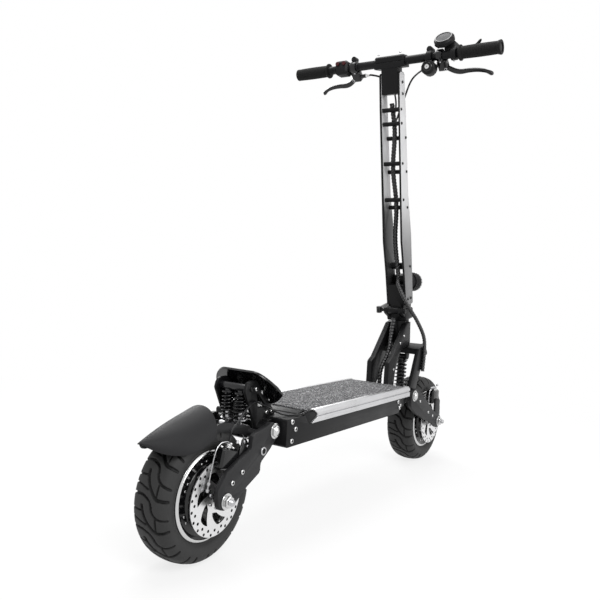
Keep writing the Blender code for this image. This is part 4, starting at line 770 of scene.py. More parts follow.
def blank(sides, radius, height, rim):
    """A prism on its base with its upper rim rounded over, left in edit mode."""
    fresh()
    bpy.ops.mesh.primitive_cylinder_add(vertices=sides, radius=radius, depth=height,
                                        location=(0, 0, height / 2))
    piece = settle(bpy.context.object, Matrix.Identity(4))
    pick_faces(piece, lambda face: face.normal.z > 0.9)
    bpy.ops.mesh.bevel(offset=rim, segments=3)
    return piece


def screw_head(radius, height):
    """A round head with a rounded rim and a sunk drive."""
    piece = blank(16, radius, height, min(radius, height) * 0.4)
    pick_faces(piece, lambda face: face.normal.z > 0.99 and face.calc_center_median().z > height * 0.9)
    bpy.ops.mesh.inset(thickness=radius * 0.22)
    bpy.ops.mesh.extrude_region_move(TRANSFORM_OT_translate={"value": (0, 0, -height * 0.55)})
    bpy.ops.object.mode_set(mode="OBJECT")
    # The sunk drive takes the recess finish: painted shade inside the socket.
    mark(piece, lambda face: (0.3 * height < face.center.z < 0.97 * height
                              and face.center.xy.length < 0.6 * radius))
    return piece


def screws(name, places, radius, height, body, finish="bright"):
    """One piece with a screw head at each (point, outward direction)."""
    piece = copies(screw_head(radius, height), [at(point, direction) for point, direction in places])
    return hand_over(piece, name, finish, body, 40)


def mirrored_outline(half):
    """An outline given for one side of the wheel, closed through the other side."""
    return half + [(radius, -height) for radius, height in reversed(half)]


print("lathe ready")

# %% Hub motors, rim lips and cover screws
COVER = mm((6.3, 51.5), (22.6, 51.5), (23, 51.1), (23, 41), (23.7, 40.4))
for groove in (29, 36.5, 44, 51.5):
    COVER += mm((groove, 40.4), (groove + 0.6, 39.3), (groove + 1.8, 39.3), (groove + 2.4, 40.4))
COVER += mm((58.6, 40.4), (59.8, 39.8), (61.6, 35.2), (62.4, 34.3), (71.2, 30.7), (72.8, 30.4), (80, 32.5),
            (83.6, 33.8), (84.4, 33.4), (84.4, 31.1), (84, 30.9), (78.6, 30.9))
LIP = mm((78.8, 31.6), (78.8, 35.2), (79.3, 36), (80.4, 36.1), (83.8, 34.6), (85.2, 33.4), (85.3, 32.2),
         (81, 31.6))
COVER_SCREWS = [(0.0668, 0.0322, math.tau * k / 7 + pair) for k in range(7) for pair in (-0.10, 0.10)]
COVER_SCREWS += [(0.0552, 0.0402, math.tau * (k + 0.5) / 6) for k in range(6)]
for label, hub in HUB.items():
    body = label + "_wheel"
    centre = (hub.x, 0, hub.z)
    lathed(label + "_motor_drum", mirrored_outline(COVER), 112, at(centre, (0, 1, 0)), "gloss",
           body, 24, label + "_hub_motor")
    lips = [settle(turned(LIP, 128), at(centre, (0, side, 0))) for side in (-1, 1)]
    hand_over(joined(lips), label + "_rim_lips", "bright", body, 40)
    places = []
    for side in (-1, 1):
        for radius, out, angle in COVER_SCREWS:
            x, z = polar(radius, angle)
            places.append(((hub.x + x, side * out, hub.z + z), (0, side, 0)))
    screws(label + "_cover_screws", places, 0.0024, 0.0030, body)
    disc_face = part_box(label + "_rotor")[0][1] + 0.0002
    spots = [polar(BOLT_RING, angle) for angle in DISC_BOLTS]
    places = [((hub.x + x, disc_face, hub.z + z), (0, -1, 0)) for x, z in spots]
    screws(label + "_disc_screws", places, 0.0031, 0.0022, body, "steel")

# %% [markdown]
# ## Springs
# A coil is a small circle carried round and along an axis at once, which is what a Screw modifier does.
# When an arm moves, its spring flattens towards its upper seat, so the coils close as real ones do.

# %% Springs
def coil_wire(radius, wire, turns, length):
    """A coil along its own Z, with closed ends."""
    fresh()
    bpy.ops.mesh.primitive_circle_add(vertices=14, radius=wire, fill_type="NGON",
                                      location=(radius, 0, 0), rotation=(math.pi / 2, 0, 0))
    piece = bpy.context.object
    bpy.ops.object.transform_apply(location=True, rotation=True, scale=True)
    steps = round(26 * turns)
    apply_modifier(piece, "SCREW", screw_offset=length, angle=math.tau * turns, steps=steps,
                   render_steps=steps, iterations=1, use_merge_vertices=False)
    edit_all(piece)
    bpy.ops.mesh.remove_doubles(threshold=0.00001)
    bpy.ops.object.mode_set(mode="OBJECT")
    return capped(piece)


def capped(piece):
    """Close the open ends of a tube."""
    only(piece)
    bpy.ops.object.mode_set(mode="EDIT")
    bpy.ops.mesh.select_mode(type="EDGE")
    bpy.ops.mesh.select_all(action="DESELECT")
    bpy.ops.mesh.select_non_manifold()
    bpy.ops.mesh.fill_holes(sides=0)
    bpy.ops.object.mode_set(mode="OBJECT")
    return piece


def spring(name, node, end, coil, wire, turns):
    """A coil along its shock, between the ends of the solid it stands for."""
    joint = end + "_shock_stroke"
    pin = Vector(joints[end + "_shock_tilt"]["pos_m"]) + Vector((0, middle(node).y, 0))
    along = -Vector(joints[joint]["axis"])
    low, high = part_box(node)
    top, foot = (pin + along * ((pin.z - z) / -along.z) for z in (high[2] - 0.002, low[2] + 0.002))
    axis = (foot - top).normalized()
    length = (foot - top).length
    piece = settle(coil_wire(coil, wire, turns, length), at(top, axis))
    hand_over(piece, name, "coil", end + "_damper", 60, node)
    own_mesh(piece)


for label in ("left", "right"):
    spring(label + "_rear_coil", label + "_rear_spring", "rear", 0.0112, 0.0018, 6.5)
spring("front_coil", "front_spring", "front", 0.0150, 0.0022, 8)

# %% [markdown]
# ## Machined plates with broken edges
# The frame is cut from thick alloy plate, and a machinist breaks every sharp edge so that it catches a
# thin line of light. The solids have knife edges, so each is copied, its triangles are joined into
# flat faces again, and a narrow bevel rounds every corner sharper than a third of a right angle.

# %% Rounded copies of the solids
def upright_plate(points, thickness, y=0.0):
    """A plate that stands along the scooter: an outline of (x, z) points, a thickness and its middle's y."""
    return settle(flat_plate(points, thickness), at((0, y, 0), (0, -1, 0)))


def softened(node, finish, width, notch, pale):
    """A copy of a solid with its edges rounded over, standing for that solid."""
    solid = frame["nodes"][node]
    piece = bpy.data.objects.new(node + "_finished", solid.data.copy())
    bpy.context.collection.objects.link(piece)
    settle(piece, solid.matrix_world)
    edit_all(piece)
    bpy.ops.mesh.remove_doubles(threshold=0.00001)
    bpy.ops.mesh.dissolve_limited(angle_limit=math.radians(1.5))
    bpy.ops.object.mode_set(mode="OBJECT")
    if notch:
        cut_out(piece, upright_plate(notch, 0.4))
    bevelled(piece, width, use_clamp_overlap=True, miter_outer="MITER_ARC")
    if pale:
        mark(piece, lambda face: abs(face.normal.y) > 0.95 and face.area > 0.00002)
    hand_over(piece, node + "_finished", finish, body_of(solid)[0], 34, node, "side")


RAIL_END = mm((-242.5, 236.6), (-220, 250), (-231.2, 262.2))
RAIL_NOTCH = mm((-260, 230), (-253.5, 230)) + RAIL_END + mm((-233, 270), (-260, 270))
PLATES = {
    ("alloy", "black_frame", 0.0010): ("deck_cover tail_frame neck_frame fork fold_base stem_foot"
                                       " stem_head bar_clamp left_stem_plate right_stem_plate").split(),
    ("tub", "black_frame", 0.0010): ["deck_tub"],
    ("arm", "black_frame", 0.0012): ["rear_swingarm", "front_swingarm"],
    ("gloss", "black_paint", 0.0008): ["fold_latch", "kickstand", "front_caliper", "rear_caliper"],
    ("plastic", "black_plastic", 0.0009): "switch_box key_lock headlight display_unit".split(),
    ("gloss", "black_paint", 0.0007): ["left_brake_perch", "right_brake_perch"],
    ("silver", "silver", 0.0006): ["left_deck_rail", "right_deck_rail"],
    ("grit", "grip_mat", 0.0007): ["deck_mat"],
    ("coil", "black_frame", 0.0006): ["front_shock_body", "rear_shock_bodies"],
    ("steel", "steel", 0.0005): ["front_shock_rod", "rear_shock_rods"],
    ("red", "red_plastic", 0.0010): ["horn_button", "light_button"],
}
for (finish, slot, width), names in PLATES.items():
    for node in names:
        softened(node, finish, width, RAIL_NOTCH if "rail" in node else None, "stem_plate" in node)

# %% Tail end of the deck
half_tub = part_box("deck_tub")[1][1] - 0.0003
STRIP = mm((-268.5, 255.3), (-268, 256.3), (-248.6, 259.6), (-244.6, 260.4), (-244.4, 259.4),
           (-248, 259.4), (-248.4, 255.3))
CHEEK = mm((-268, 255.3), (-267.6, 256.3), (-248.6, 259.2), (-229, 259.2))
CHEEK += [(x - 0.0004, z) for x, z in (RAIL_END[1], RAIL_END[0])] + mm((-250, 236.8))
caps = [upright_plate(STRIP, 0.148)]
caps += [upright_plate(CHEEK, 0.0090, side * (half_tub - 0.0045)) for side in (-1, 1)]
hand_over(bevelled(joined(caps), 0.0003), "deck_end_cap", "tub", "deck", 34)

# %% [markdown]
# ## Fenders and kicktail
# The fenders are moulded sheets that arch over the tyres and run out to a thin tip, and the kicktail
# is a pressed wing under the rider's back foot. A flat grid is laid on the same curves as the solids,
# only much finer, and Solidify gives it the thickness of the sheet.

# %% Moulded sheets
def pressed(name, columns, rows, shape, thickness, finish, body, node):
    piece = grid_skin(columns, rows, shape)
    apply_modifier(piece, "SOLIDIFY", thickness=thickness, offset=-1)
    bevelled(piece, thickness * 0.32, 50, 3)
    hand_over(piece, name, finish, body, 40, node)


TAPER_FROM, TIP_LEFT = 0.25, 0.05  # where a fender starts to narrow, and what is left of it at the tip


def fender_shape(tip, root, half, depth, sweep):
    """Points of a fender from its root edge (v = 0) to its tip (v = 1), across from u = 0 to 1."""
    reach = root[0] - tip[0]

    def shape(u, v):
        lean = (u * 2 - 1) * math.pi / 2 * math.copysign(1, reach)
        taper = np.clip((v - TAPER_FROM) / (1 - TAPER_FROM), 0, 1) ** 2
        width = half * (1 - taper * (1 - TIP_LEFT))
        drop = depth * (1 - v ** 3 * (1 - TIP_LEFT))
        ridge = root[1] + (tip[1] - root[1]) * v
        fall = 1 - np.cos(lean)
        x = root[0] - reach * v - reach * fall * (sweep - (sweep + 0.04) * v)
        return np.stack([x, width * np.sin(lean), ridge - drop * fall], 1)
    return shape


crown = stem_point(0, 0, -0.1279)  # under side of the fork's crown
FENDERS = (
    ("rear", 60, 44, "rear_arm", fender_shape(
        (REAR.x - 0.150, REAR.z + 0.118), (REAR.x + 0.008, REAR.z + 0.1635), 0.0500, 0.055, 0.07)),
    ("front", 48, 30, "fork_unit", fender_shape(
        (FRONT.x + 0.040, crown.z + 0.0112), (crown.x + 0.036, crown.z + 0.0138), 0.040, 0.030, 0.20)),
)
for label, columns, rows, body, shape in FENDERS:
    pressed(label + "_fender_shell", columns, rows, shape, 0.0025, "fender", body,
            label + "_fender")


KICK_HALF, KICK_FLAT = 0.079, 0.035  # half width, and how much of it is straight


def kick_shape(u, v):
    """The winged foot rest: straight between the side plates, then swept to narrow, slightly raised ends."""
    low = np.array(from_rear(0.192, 0, 0.2593))
    high = np.array(from_rear(0.126, 0, 0.332))
    slope = (high - low) / np.linalg.norm(high - low)
    normal = np.array([slope[2], 0, -slope[0]])
    y = KICK_HALF * np.sin((u * 2 - 1) * math.pi / 2)
    past = np.clip((np.abs(y) - KICK_FLAT) / (KICK_HALF - KICK_FLAT), 0, 1) ** 2
    start = 0.026 + 0.025 * past
    along = start + (np.linalg.norm(high - low) + 0.0206 - start - 0.040 * past) * v
    points = low + slope * along[:, None] + normal * 0.0053
    points[:, 1] += y
    points[:, 2] += 0.006 * past * (1 - v)
    return points


pressed("kicktail_wing", 60, 26, kick_shape, 0.005, "gloss", "deck", "kicktail")

# %% [markdown]
# ## Axles, pivots and frame screws
# The scooter wears its fasteners openly: flanged nuts on the axles, domed nuts on the pivots, and rows
# of polished button screws along the plates. Each row models one head and copies it to its places.

# %% Axle and pivot hardware
def hex_nut(radius, depth):
    """A hexagon with its outer corners turned off."""
    return bevelled(blank(6, radius, depth, radius * 0.14), 0.0005, 35)


def washer(outer, bore, thick):
    edge = thick * 0.3
    return turned([(bore, 0), (outer - edge, 0), (outer, edge), (outer, thick - edge),
                   (outer - edge, thick), (bore, thick)], 48)


PITCH = 0.0011  # of the axle's thread


def threaded(radius, length):
    """A threaded end as stacked ridges, with a coned point."""
    profile = [(0, 0), (radius, 0)]
    height = PITCH
    while height < length - 0.002:
        profile += [(radius, height), (radius - 0.0005, height + PITCH / 2)]
        height += PITCH
    profile += [(radius, length - 0.0015), (radius - 0.0015, length), (0, length)]
    return turned(profile, 28)


def dome(radius, height, steps, base=0.0):
    """The curve of a dome, from just above its rim to just off its middle."""
    angles = [math.pi / 2 * k / steps for k in range(1, steps)]
    return [(radius * math.cos(angle), base + height * math.sin(angle)) for angle in angles]


def domed(radius, height):
    """A cap nut's dome."""
    return turned([(0, 0), (radius, 0), *dome(radius, height, 8), (0, height)], 40)


def stacked(parts, point, direction):
    """Pieces stacked along an axis: each (piece, distance out)."""
    place = at(point, direction)
    return [settle(piece, place @ Matrix.Translation((0, 0, distance))) for piece, distance in parts]


def cross_pin(place):
    """A plain pin right across both plates of an arm."""
    fresh()
    bpy.ops.mesh.primitive_cylinder_add(vertices=32, radius=PIN_R, depth=2 * ARM_FACE, location=place,
                                        rotation=(math.pi / 2, 0, 0))
    pin = bpy.context.object
    bpy.ops.object.transform_apply(location=True, rotation=True, scale=True)
    return bevelled(pin, 0.0006, 60)


AXLE_WASHER, PIVOT_WASHER = (0.0150, 0.0062, 0.0018), (0.0155, PIN_R, 0.0016)  # outer, bore, thickness
AXLE_NUT, PIVOT_NUT, PIVOT_DOME = (0.0115, 0.0080), (0.0128, 0.0042), (0.0092, 0.0038)  # radius, height
AXLE_END = 0.0172  # length of thread past the arm
for label, hub in HUB.items():
    body = label + "_arm"
    pivot = middle(label + "_pivot_bolt")
    nuts, ends, bolts = [], [], []
    for side in (-1, 1):
        out = (0, side, 0)
        face = (hub.x, side * ARM_FACE, hub.z)
        nuts += stacked([(washer(*AXLE_WASHER), 0.0002), (hex_nut(*AXLE_NUT), 0.0020)], face, out)
        ends += stacked([(threaded(PIN_R, AXLE_END), 0.0002)], face, out)
        bolts += stacked([(washer(*PIVOT_WASHER), 0.0002), (hex_nut(*PIVOT_NUT), 0.0018),
                          (domed(*PIVOT_DOME), 0.0046)], (pivot.x, side * ARM_FACE, pivot.z), out)
    hand_over(joined(nuts), label + "_axle_nuts", "bright", body, 30)
    hand_over(joined([cross_pin(hub), *ends]), label + "_axle_shaft", "steel", body, 40,
              label + "_axle")
    carrier = "deck" if label == "rear" else "fork_unit"
    hand_over(joined([cross_pin(pivot), *bolts]), label + "_pivot_hardware", "bright", carrier,
              30, label + "_pivot_bolt")

# %% Rows of screws
def both_sides(spots, y):
    """The same spots on the right and the left face of a pair of plates."""
    return [(from_rear(x, side * y, z), (0, side, 0)) for side in (-1, 1) for x, z in spots]


ARM_SEAT, TAIL_SEAT, DECK_SEAT = 0.0779, 0.0399, 0.0924  # faces that the heads sit on, from the middle
BLOCK_SEAT, NECK_SEAT, STEM_SEAT = 0.0699, 0.0339, 0.0301
SCREW_ROWS = (  # piece, seat, radius and height of a head, body, finish and spots ahead of the rear axle
    ("tail_plate_screws", TAIL_SEAT, 0.0047, 0.0034, "deck", "bright",
     mm((122.5, 314.6), (143.3, 306.3), (168.9, 289.1), (160.8, 263.4), (178.3, 263.2))),
    ("deck_end_screws", DECK_SEAT, 0.0052, 0.0034, "deck", "bright",
     mm((178.9, 248.9), (191.8, 232.6), (179.5, 210.1), (679.9, 228.8), (690, 212.4))),
    ("neck_block_screws", BLOCK_SEAT, 0.0042, 0.0032, "deck", "bright", mm((729.1, 229.8), (744.8, 208.7))),
    ("rear_arm_screws", ARM_SEAT, 0.0048, 0.0032, "rear_arm", "bright", mm((41.6, 172.8), (13.3, 158.4))),
    ("rear_arm_caps", ARM_SEAT, 0.0086, 0.0028, "rear_arm", "steel", mm((104.8, 200.7))),
)
for name, seat, radius, height, body, finish, spots in SCREW_ROWS:
    screws(name, both_sides(spots, seat), radius, height, body, finish)
screws("front_arm_screws", [((FRONT.x + x, side * ARM_SEAT, z), (0, side, 0)) for side in (-1, 1)
                            for x, z in ((-0.150, 0.206), (-0.085, 0.166), (-0.050, 0.150))],
       0.0040, 0.0030, "front_arm")
rungs = [(-0.0220, s) for s in (0.314, 0.413, 0.520, 0.557)] + [(0.0025, s) for s in (0.291, 0.390, 0.482)]
rungs += [(0.0120, 0.122), (-0.008, 0.030), (0.012, 0.030), (-0.010, 0.628), (-0.010, 0.598)]
screws("stem_screws", [(stem_point(u, side * STEM_SEAT, s), (0, side, 0)) for side in (-1, 1)
                       for u, s in rungs], 0.0038, 0.0028, "stem", "gloss")
screws("neck_bar_screws", both_sides(mm((765, 300), (800, 372), (822, 392)), NECK_SEAT),
       0.0036, 0.0028, "deck")
spots = [kick_shape(np.array([u]), np.array([v]))[0] for u in (0.35, 0.65) for v in (0.18, 0.80)]
screws("kicktail_screws", [(Vector(spot), (0.74, 0, 0.67)) for spot in spots], 0.0040, 0.0026, "deck")

# %% [markdown]
# ## Grips and levers
# The grips are soft rubber with fine ribs and a flange at each end. The brake levers are cast blades
# that start flat at the pivot, thin out, and end in a small ball so that a finger can't slip off.

# %% Grips
def bar_point(x, y, z):
    return BAR + Vector((x, y, z))


COLLAR = mm((11.4, 0), (19.6, 0), (20, 0.8), (20, 3.4), (19.2, 4.4), (16.2, 5.6))
RIBS, RIB_LOW, RIB_HIGH = 22, 0.0152, 0.0159
for label, side, flare in (("left", 1, 0.0), ("right", -1, 0.0022)):
    node = label + "_grip"
    low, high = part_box(node)
    length = high[1] - low[1]
    step = (length - 0.020) / RIBS
    profile = list(COLLAR)
    for rib in range(RIBS):
        height = 0.009 + step * rib
        swell = 0.0006 * math.sin(math.pi * rib / RIBS)
        profile += [(RIB_LOW + swell, height), (RIB_HIGH + swell, height + 0.25 * step),
                    (RIB_HIGH + swell, height + 0.7 * step), (RIB_LOW + swell, height + 0.92 * step)]
    profile += [(0.0158 + flare * 0.3, length - 0.009), (0.0160 + flare, length - 0.003),
                (0.0158 + flare, length - 0.0008), (0.0148 + flare, length), (0.0114, length)]
    start = low[1] if side > 0 else high[1]
    lathed(node + "_rubber", profile, 44, at((BAR.x, start, BAR.z), (0, side, 0)), "rubber",
           node=node)

# %% Handlebar tube
low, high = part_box("handlebar")
tube_r = (high[2] - low[2]) / 2
half = (high[1] - low[1]) / 2
tube = [(0, -half), (tube_r - 0.0012, -half), (tube_r, -half + 0.0012)]
for ring in (-0.180, -0.100, 0.100, 0.180):
    tube += [(tube_r, ring - 0.0008), (tube_r - 0.00025, ring - 0.0004), (tube_r - 0.00025, ring + 0.0004),
             (tube_r, ring + 0.0008)]
tube += [(tube_r, half - 0.0012), (tube_r - 0.0012, half), (0, half)]
lathed("handlebar_tube", tube, 40, at(BAR, (0, 1, 0)), "alloy", "stem", 40, "handlebar")

# %% Brake levers
DROP = math.radians(46)


def lever_point(x, y, z):
    """A point in the plane of the brake levers, which hang ahead of and below the bar."""
    return bar_point(x * math.cos(DROP) + z * math.sin(DROP), y, -x * math.sin(DROP) + z * math.cos(DROP))


def sweep(route, size, sides, rows, guide=(0.0, 0.0, 1.0), crest=0.0):
    """A closed tube of radius size(v, angle) along a route; what falls short of a crest is a groove."""
    line = through(route, rows + 1)
    ahead = np.gradient(line, axis=0)
    ahead /= np.linalg.norm(ahead, axis=1)[:, None]
    across = np.zeros_like(line)
    guide = np.array(guide)
    for k, direction in enumerate(ahead):
        guide = guide - direction * (guide @ direction)
        guide /= np.linalg.norm(guide)
        across[k] = guide
    over = np.cross(ahead, across)

    def shape(u, v):
        angle = u * math.tau
        row = v * rows
        pick = [np.stack([np.interp(row, np.arange(rows + 1), field[:, k]) for k in range(3)], 1)
                for field in (line, across, over)]
        radius = size(v, angle)[:, None]
        return pick[0] + radius * (np.cos(angle)[:, None] * pick[1] + np.sin(angle)[:, None] * pick[2])

    cut = (lambda u, v: crest - size(v, u * math.tau)) if crest else None
    return capped(grid_skin(sides, rows, shape, cut))


LEVER_PATH = mm((31.5, -4), (38, 6), (46.5, 20), (50.5, 34), (50, 55), (51.5, 78), (56, 96), (62, 108),
                (69, 117))


def blade(v, angle):
    """Flat at the pivot, waisted in the middle, and a ball at the tip."""
    along = [0, 0.02, 0.10, 0.30, 0.60, 0.86, 0.92, 0.96, 0.985, 1.0]
    wide = np.interp(v, along, [0.0030, 0.0052, 0.0066, 0.0066, 0.0054, 0.0044, 0.0054, 0.0056, 0.0042,
                                0.0014])
    thick = np.interp(v, along, [0.0028, 0.0040, 0.0042, 0.0042, 0.0042, 0.0040, 0.0052, 0.0056, 0.0042,
                                 0.0014])
    square = 1 / (np.abs(np.cos(angle)) ** 3.2 + np.abs(np.sin(angle)) ** 3.2) ** (1 / 3.2)
    round_end = np.clip((v - 0.80) / 0.12, 0, 1)
    square = square * (1 - round_end) + round_end
    return square * np.sqrt((thick * np.cos(angle)) ** 2 + (wide * np.sin(angle)) ** 2)


for label, side in (("left", 1), ("right", -1)):
    pivot = Vector(joints[label + "_brake_pull"]["pos_m"]).y
    route = [lever_point(x, pivot + side * y, 0) for x, y in LEVER_PATH]
    piece = sweep(route, blade, 20, 110, (math.sin(DROP), 0, math.cos(DROP)))
    hand_over(piece, label + "_lever_blade", "gloss", label + "_lever", 60,
              label + "_brake_lever")
    cap = [(lever_point(0.034, pivot, z), (math.sin(DROP) * way, 0, math.cos(DROP) * way))
           for z, way in ((0.0098, 1), (-0.0098, -1))]
    screws(label + "_lever_pivot", cap, 0.0040, 0.0020, "stem", "steel")

# %% Throttle trigger
def paddle(v, angle):
    """A flat finger blade, taller than it is thick, with a rounded end."""
    tall = np.interp(v, [0, 0.08, 0.5, 0.9, 0.97, 1.0], [0.0030, 0.0048, 0.0046, 0.0042, 0.0030, 0.0010])
    thick = np.interp(v, [0, 0.08, 0.9, 0.97, 1.0], [0.0018, 0.0026, 0.0020, 0.0016, 0.0006])
    return np.sqrt((tall * np.cos(angle)) ** 2 + (thick * np.sin(angle)) ** 2)


pull = Vector(joints["throttle_pull"]["pos_m"])
route = [pull + Vector(step) for step in (
    (0.0015, -0.004, 0), (0.005, -0.014, 0), (0.009, -0.030, 0), (0.010, -0.046, 0.003),
    (0.008, -0.058, 0.010), (0.005, -0.067, 0.0185))]
boss = turned([(0.0023, -0.0055), (0.0058, -0.0055), (0.0062, -0.0050), (0.0062, 0.0050), (0.0058, 0.0055),
               (0.0023, 0.0055)], 28)
pieces = [sweep(route, paddle, 16, 70), settle(boss, at(pull, (0, 0, 1)))]
hand_over(joined(pieces), "throttle_paddle", "plastic", "trigger", 50, "throttle_trigger")

# %% [markdown]
# ## Leads and cables
# A black spiral wrap gathers the leads down the ladder stem, and single sheathed cables branch off to the
# levers, the fork and the rear brake. Each is one smooth run through the points of the solid it
# stands for. Runs that cross a joint bend between the two bodies they join.

# %% Wrapped trunk and branches
def wrapped_run(name, route, radius, turns, sides, rows, body, node):
    """A spiral band wound round a bundle of leads, with a narrow gap between its turns."""
    def size(v, angle):
        phase = (v * turns - angle / math.tau) % 1
        return radius * (0.68 + 0.32 * np.sqrt(np.clip(1 - np.abs(2 * phase - 1) ** 2.5, 0, 1)))
    # The band's fall from its crest is kept as a groove depth, which the wrap's finish turns into painted
    # shade in the gaps.
    run = sweep(route, size, sides, rows, (1, 0, 0), radius)
    return hand_over(run, name, "wrap", body, 50, node)


def plain(radius):
    return lambda v, angle: np.full_like(v, radius)


def cable_run(name, route, radius, sides, rows, body, node=None):
    return hand_over(sweep(route, plain(radius), sides, rows), name, "cable", body, 60, node)


TRUNK = mm((-9.7, 2, 575), (-9.7, -4, 500), (-9.7, 4, 400), (-9.7, -3, 300), (-10, 3, 200), (-12, -4, 102))
wrapped_run("wrapped_trunk", [stem_point(*spot) for spot in TRUNK], 0.0068, 52, 20, 680, "stem",
            "control_harness")
BARREL = mm((0, 0), (4, 0), (4.6, 0.6), (4.6, 9), (4, 9.8), (4, 11), (3.2, 15), (0, 15))
for label, side, high in (("left", 1, 0.6396), ("right", -1, 0.638)):
    at_y = Vector(joints[label + "_brake_pull"]["pos_m"]).y - side * 0.010
    start = lever_point(0.028, at_y - side * 0.0263, 0)
    lead = Vector((0, -side * 0.008, 0))
    route = [start, start + lead, start + 2 * lead] + [stem_point(*spot) for spot in (
        (0.046, side * 0.034, high), (0.036, side * 0.012, 0.585), (0.012, side * 0.006, 0.545),
        (-0.008, side * 0.004, 0.520))]
    cable_run(label + "_brake_hose", route, 0.0026, 14, 90, "stem")
    lathed(label + "_barrel", BARREL, 20, at(start + Vector((0, side * 0.004, 0)), (0, -side, 0)), "bright",
           angle=25)

# %% Runs across the joints
FOLD_ROUTE = mm((-12, -4, 100.7), (-15, -5, 90), (-32, -12, 79), (-44, -30, 50), (-42, -46, 18),
                (-18, -62, -30), (4, -72.44, -85), (2, -72.44, -135), (-12, -72.44, -180))
loop = wrapped_run("fold_lead", [stem_point(*spot) for spot in FOLD_ROUTE], 0.0055, 38, 18, 460, None,
                   "fold_loop")
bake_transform(loop, "stem", "fork_unit", stem_point(-0.015, 0, 0.088), stem_point(-0.020, 0, -0.030))

high = stem_point(-0.040, 0, -0.022)
low = from_rear(0.752, 0, 0.2547)
route = [high, high + Vector((-0.006, 0.002, -0.040)), high + Vector((-0.030, -0.003, -0.095)),
         low + Vector((0.004, 0, 0.040)), low]
run = wrapped_run("steering_lead", route, 0.0062, 22, 18, 290, None, "steer_loop")
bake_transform(run, "fork_unit", "deck", high, low + Vector((0, 0, 0.05)))

tip = beside("rear", -0.006, -0.0617, 0.1023)
rise = Vector((0.007 * math.sin(LEAN["rear"]), 0, 0.007 * math.cos(LEAN["rear"])))
TAIL_ROUTE = mm((146, -43.1, 280), (116, -44.1, 290), (78, -52.1, 280), (46, -61.7, 266))
route = [from_rear(*spot) for spot in TAIL_ROUTE] + [tip + steps * rise for steps in (3.2, 2, 1, 0)]
run = cable_run("rear_brake_hose", route, 0.0018, 12, 90, None, "rear_brake_cable")
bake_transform(run, "rear_arm", "deck", tip + 2 * rise, from_rear(0.100, -0.05, 0.288))
RIM_ROUTE = mm((142, -43.1, 281.2), (154, -44, 277.5), (166, -47, 271.2), (178, -55, 263), (190, -69, 258),
               (205, -80, 257.3), (218.5, -85, 257.6), (232, -87.2, 259.4), (246, -88, 261.2),
               (267, -88, 261.2))
cable_run("deck_brake_hose", [from_rear(*spot) for spot in RIM_ROUTE], 0.0018, 12, 80, "deck")

# %% [markdown]
# ## Lamp, display and lock
# These are the bought-in parts: a round lamp with cooling rings and a clear lens, a round display with
# dark glass, and a key switch with a voltage window. Each face is a turned ring and a shallow dome.

# %% Lamp
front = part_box("headlight")[1][0]
lamp = Vector((front, 0, stem_point(0.030, 0, 0.074).z))
pieces = []
for k in range(5):
    ring = turned([(0.0255, 0), (0.0281, 0.0004), (0.0283, 0.0016), (0.0281, 0.0028), (0.0255, 0.0032)], 56)
    pieces.append(settle(ring, at(lamp - Vector((0.0210 + 0.0052 * k, 0, 0)), (1, 0, 0))))
hand_over(joined(pieces), "lamp_cooling_rings", "alloy", "stem", 30)
BEZEL = mm((22.6, -9.5), (23.6, -1), (24.6, 0.6), (27.2, 0.8), (27.9, 0.2), (27.9, -5), (24, -9.5))
lathed("lamp_bezel", BEZEL, 64, at(lamp, (1, 0, 0)), "bright")
LENS = [(0, -0.0095), (0.0228, -0.0095), (0.0228, -0.0066), *dome(0.0226, 0.0052, 10, -0.0066), (0, -0.0014)]
lathed("lamp_lens", LENS, 56, at(lamp, (1, 0, 0)), "lens", angle=50)

# %% Display and key switch
def faced(name, point, direction, radius, window):
    """A bezel ring and a slightly domed glass on a round housing."""
    ring = [(window, 0), (radius - 0.0004, 0), (radius, 0.0004), (radius, 0.0012), (radius - 0.0012, 0.0022),
            (window + 0.0008, 0.0022), (window, 0.0010)]
    lathed(name + "_bezel", ring, 64, at(point, direction), "gloss")
    glass = [(0, 0), (window, 0), (window, 0.0009), (window * 0.7, 0.0013), (window * 0.35, 0.0016),
             (0, 0.0017)]
    lathed(name + "_glass", glass, 56, at(point, direction), "glass", angle=50)


TILT = math.radians(50)
face = Vector((-math.sin(TILT), 0, math.cos(TILT)))
pod = bar_point(-0.004, -0.150, 0.036)
faced("display", pod + face * 0.0090, face, 0.0230, 0.0190)
back = Vector((-math.cos(TILT), 0, -math.sin(TILT)))
keys = [(pod + back * 0.0268 + Vector((0, y, 0)), back) for y in (-0.008, 0.008)]
screws("display_keys", keys, 0.0040, 0.0018, "stem", "rubber")
lock = bar_point(-0.0158, -0.112, -0.0301)
faced("key_switch", lock + Vector((0.0016, 0, 0)), (-1, 0, 0), 0.0126, 0.0080)
KEY = mm((0, 0), (5.8, 0), (6.2, 0.5), (6.2, 4), (5.6, 4.8), (1.2, 4.8), (1.2, 2.8), (0, 2.8))
lathed("key_barrel", KEY, 32, at(lock, (-1, 0, 0)), "bright")

# %% [markdown]
# ## Brake hardware and clamps
# The calipers are cable pulled: an arm, a return spring, a pad knob and two mounting screws. Clamp screws
# close every ring on the bar. They are small, but they are what the eye expects at these places.

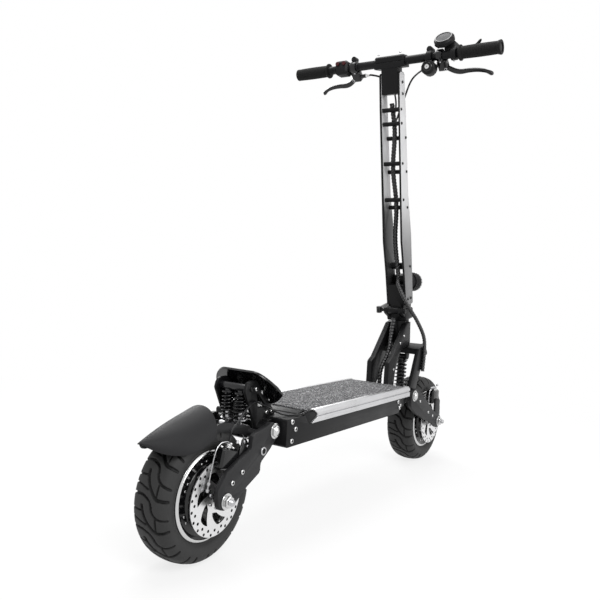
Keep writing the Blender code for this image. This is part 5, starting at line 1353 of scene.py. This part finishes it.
# %% Caliper screws, arms and knobs
PULL_ARM = mm((-4, -5), (10, -6), (26, -3.5), (28, 0), (26, 3.5), (10, 6), (-4, 5), (-6, 0))
KNOB = mm((0, 0), (7.5, 0), (8, 0.6), (8, 3.4), (7, 4.2), (3.4, 4.2), (3.4, 3), (0, 3))
NOODLE = mm((-6, -61.7, 104), (-14, -61, 104), (-26, -59.5, 100), (-34, -59, 90), (-37, -59, 76),
            (-37, -59, 12))
for label in HUB:
    body = label + "_arm"
    out = beside(label, 0, 0, 1) - beside(label, 0, 0, 0)
    places = [(beside(label, x, -0.0550, 0.0928), out) for x in (-0.017, 0.017)]
    places += [(beside(label, x, -0.0430, 0.0760), (0, 1, 0)) for x in (-0.014, 0.014)]
    screws(label + "_caliper_screws", places, 0.0034, 0.0030, body)
    arm = settle(flat_plate(PULL_ARM, 0.0026), at(beside(label, -0.004, -0.0617, 0.1020), out))
    hand_over(bevelled(arm, 0.0006, 40), label + "_caliper_arm", "steel", body, 30)
    lathed(label + "_pad_knob", KNOB, 24, at(beside(label, 0.0, -0.0428, 0.0740), (0, 1, 0)), "plastic",
           body)
    wind = settle(coil_wire(0.0062, 0.0008, 3.5, 0.0070), at(beside(label, -0.006, -0.0617, 0.0936), out))
    hand_over(wind, label + "_return_spring", "bright", body, 60)
    noodle = sweep([beside(label, *spot) for spot in NOODLE], plain(0.0012), 12, 40, out)
    hand_over(noodle, label + "_cable_noodle", "steel", body, 60)
    clamps = [(beside(label, 0.018, -0.0617, 0.1034), out)]
    clamps += [(beside(label, -0.037, -0.0590, r), -out) for r in (0.0290, 0.0170)]
    screws(label + "_cable_clamp", clamps, 0.0034, 0.0060, body, "steel")

# %% Rear caliper bracket
BRACKET = mm((23.8, 52), (23.8, 98), (25.8, 100), (26.2, 111), (30, 115.5), (36, 115), (50, 104),
             (62, 84), (60, 55))
bracket = upright_plate([beside("rear", x, 0, r).xz for x, r in BRACKET], 0.0034, -0.0661)
hand_over(bevelled(bracket, 0.0006), "rear_caliper_bracket", "gloss", "rear_arm", 30)
heads = [(beside("rear", x, -0.0677, r), (0, -1, 0)) for x, r in ((0.0312, 0.1085), (0.0440, 0.1010))]
screws("rear_bracket_screws", heads, 0.0030, 0.0024, "rear_arm", "steel")

# %% Clamp screws and bosses on the bar
places = [(bar_point(0.0, y, -0.0165), (0, 0, -1)) for y in (0.112, -0.140, -0.178)]
places += [(bar_point(x, y, 0.0178), (0, 0, 1)) for x in (-0.016, 0.016) for y in (-0.032, 0.032)]
screws("bar_clamp_screws", places, 0.0030, 0.0026, "stem", "steel")
BOSS = mm((0, -9), (6.6, -9), (7.6, -7.8), (7.6, 7.8), (6.6, 9), (0, 9))
lathed("left_clamp_boss", BOSS, 32, at(bar_point(-0.002, 0.112, 0.0200), (1, 0, 0)), "plastic")
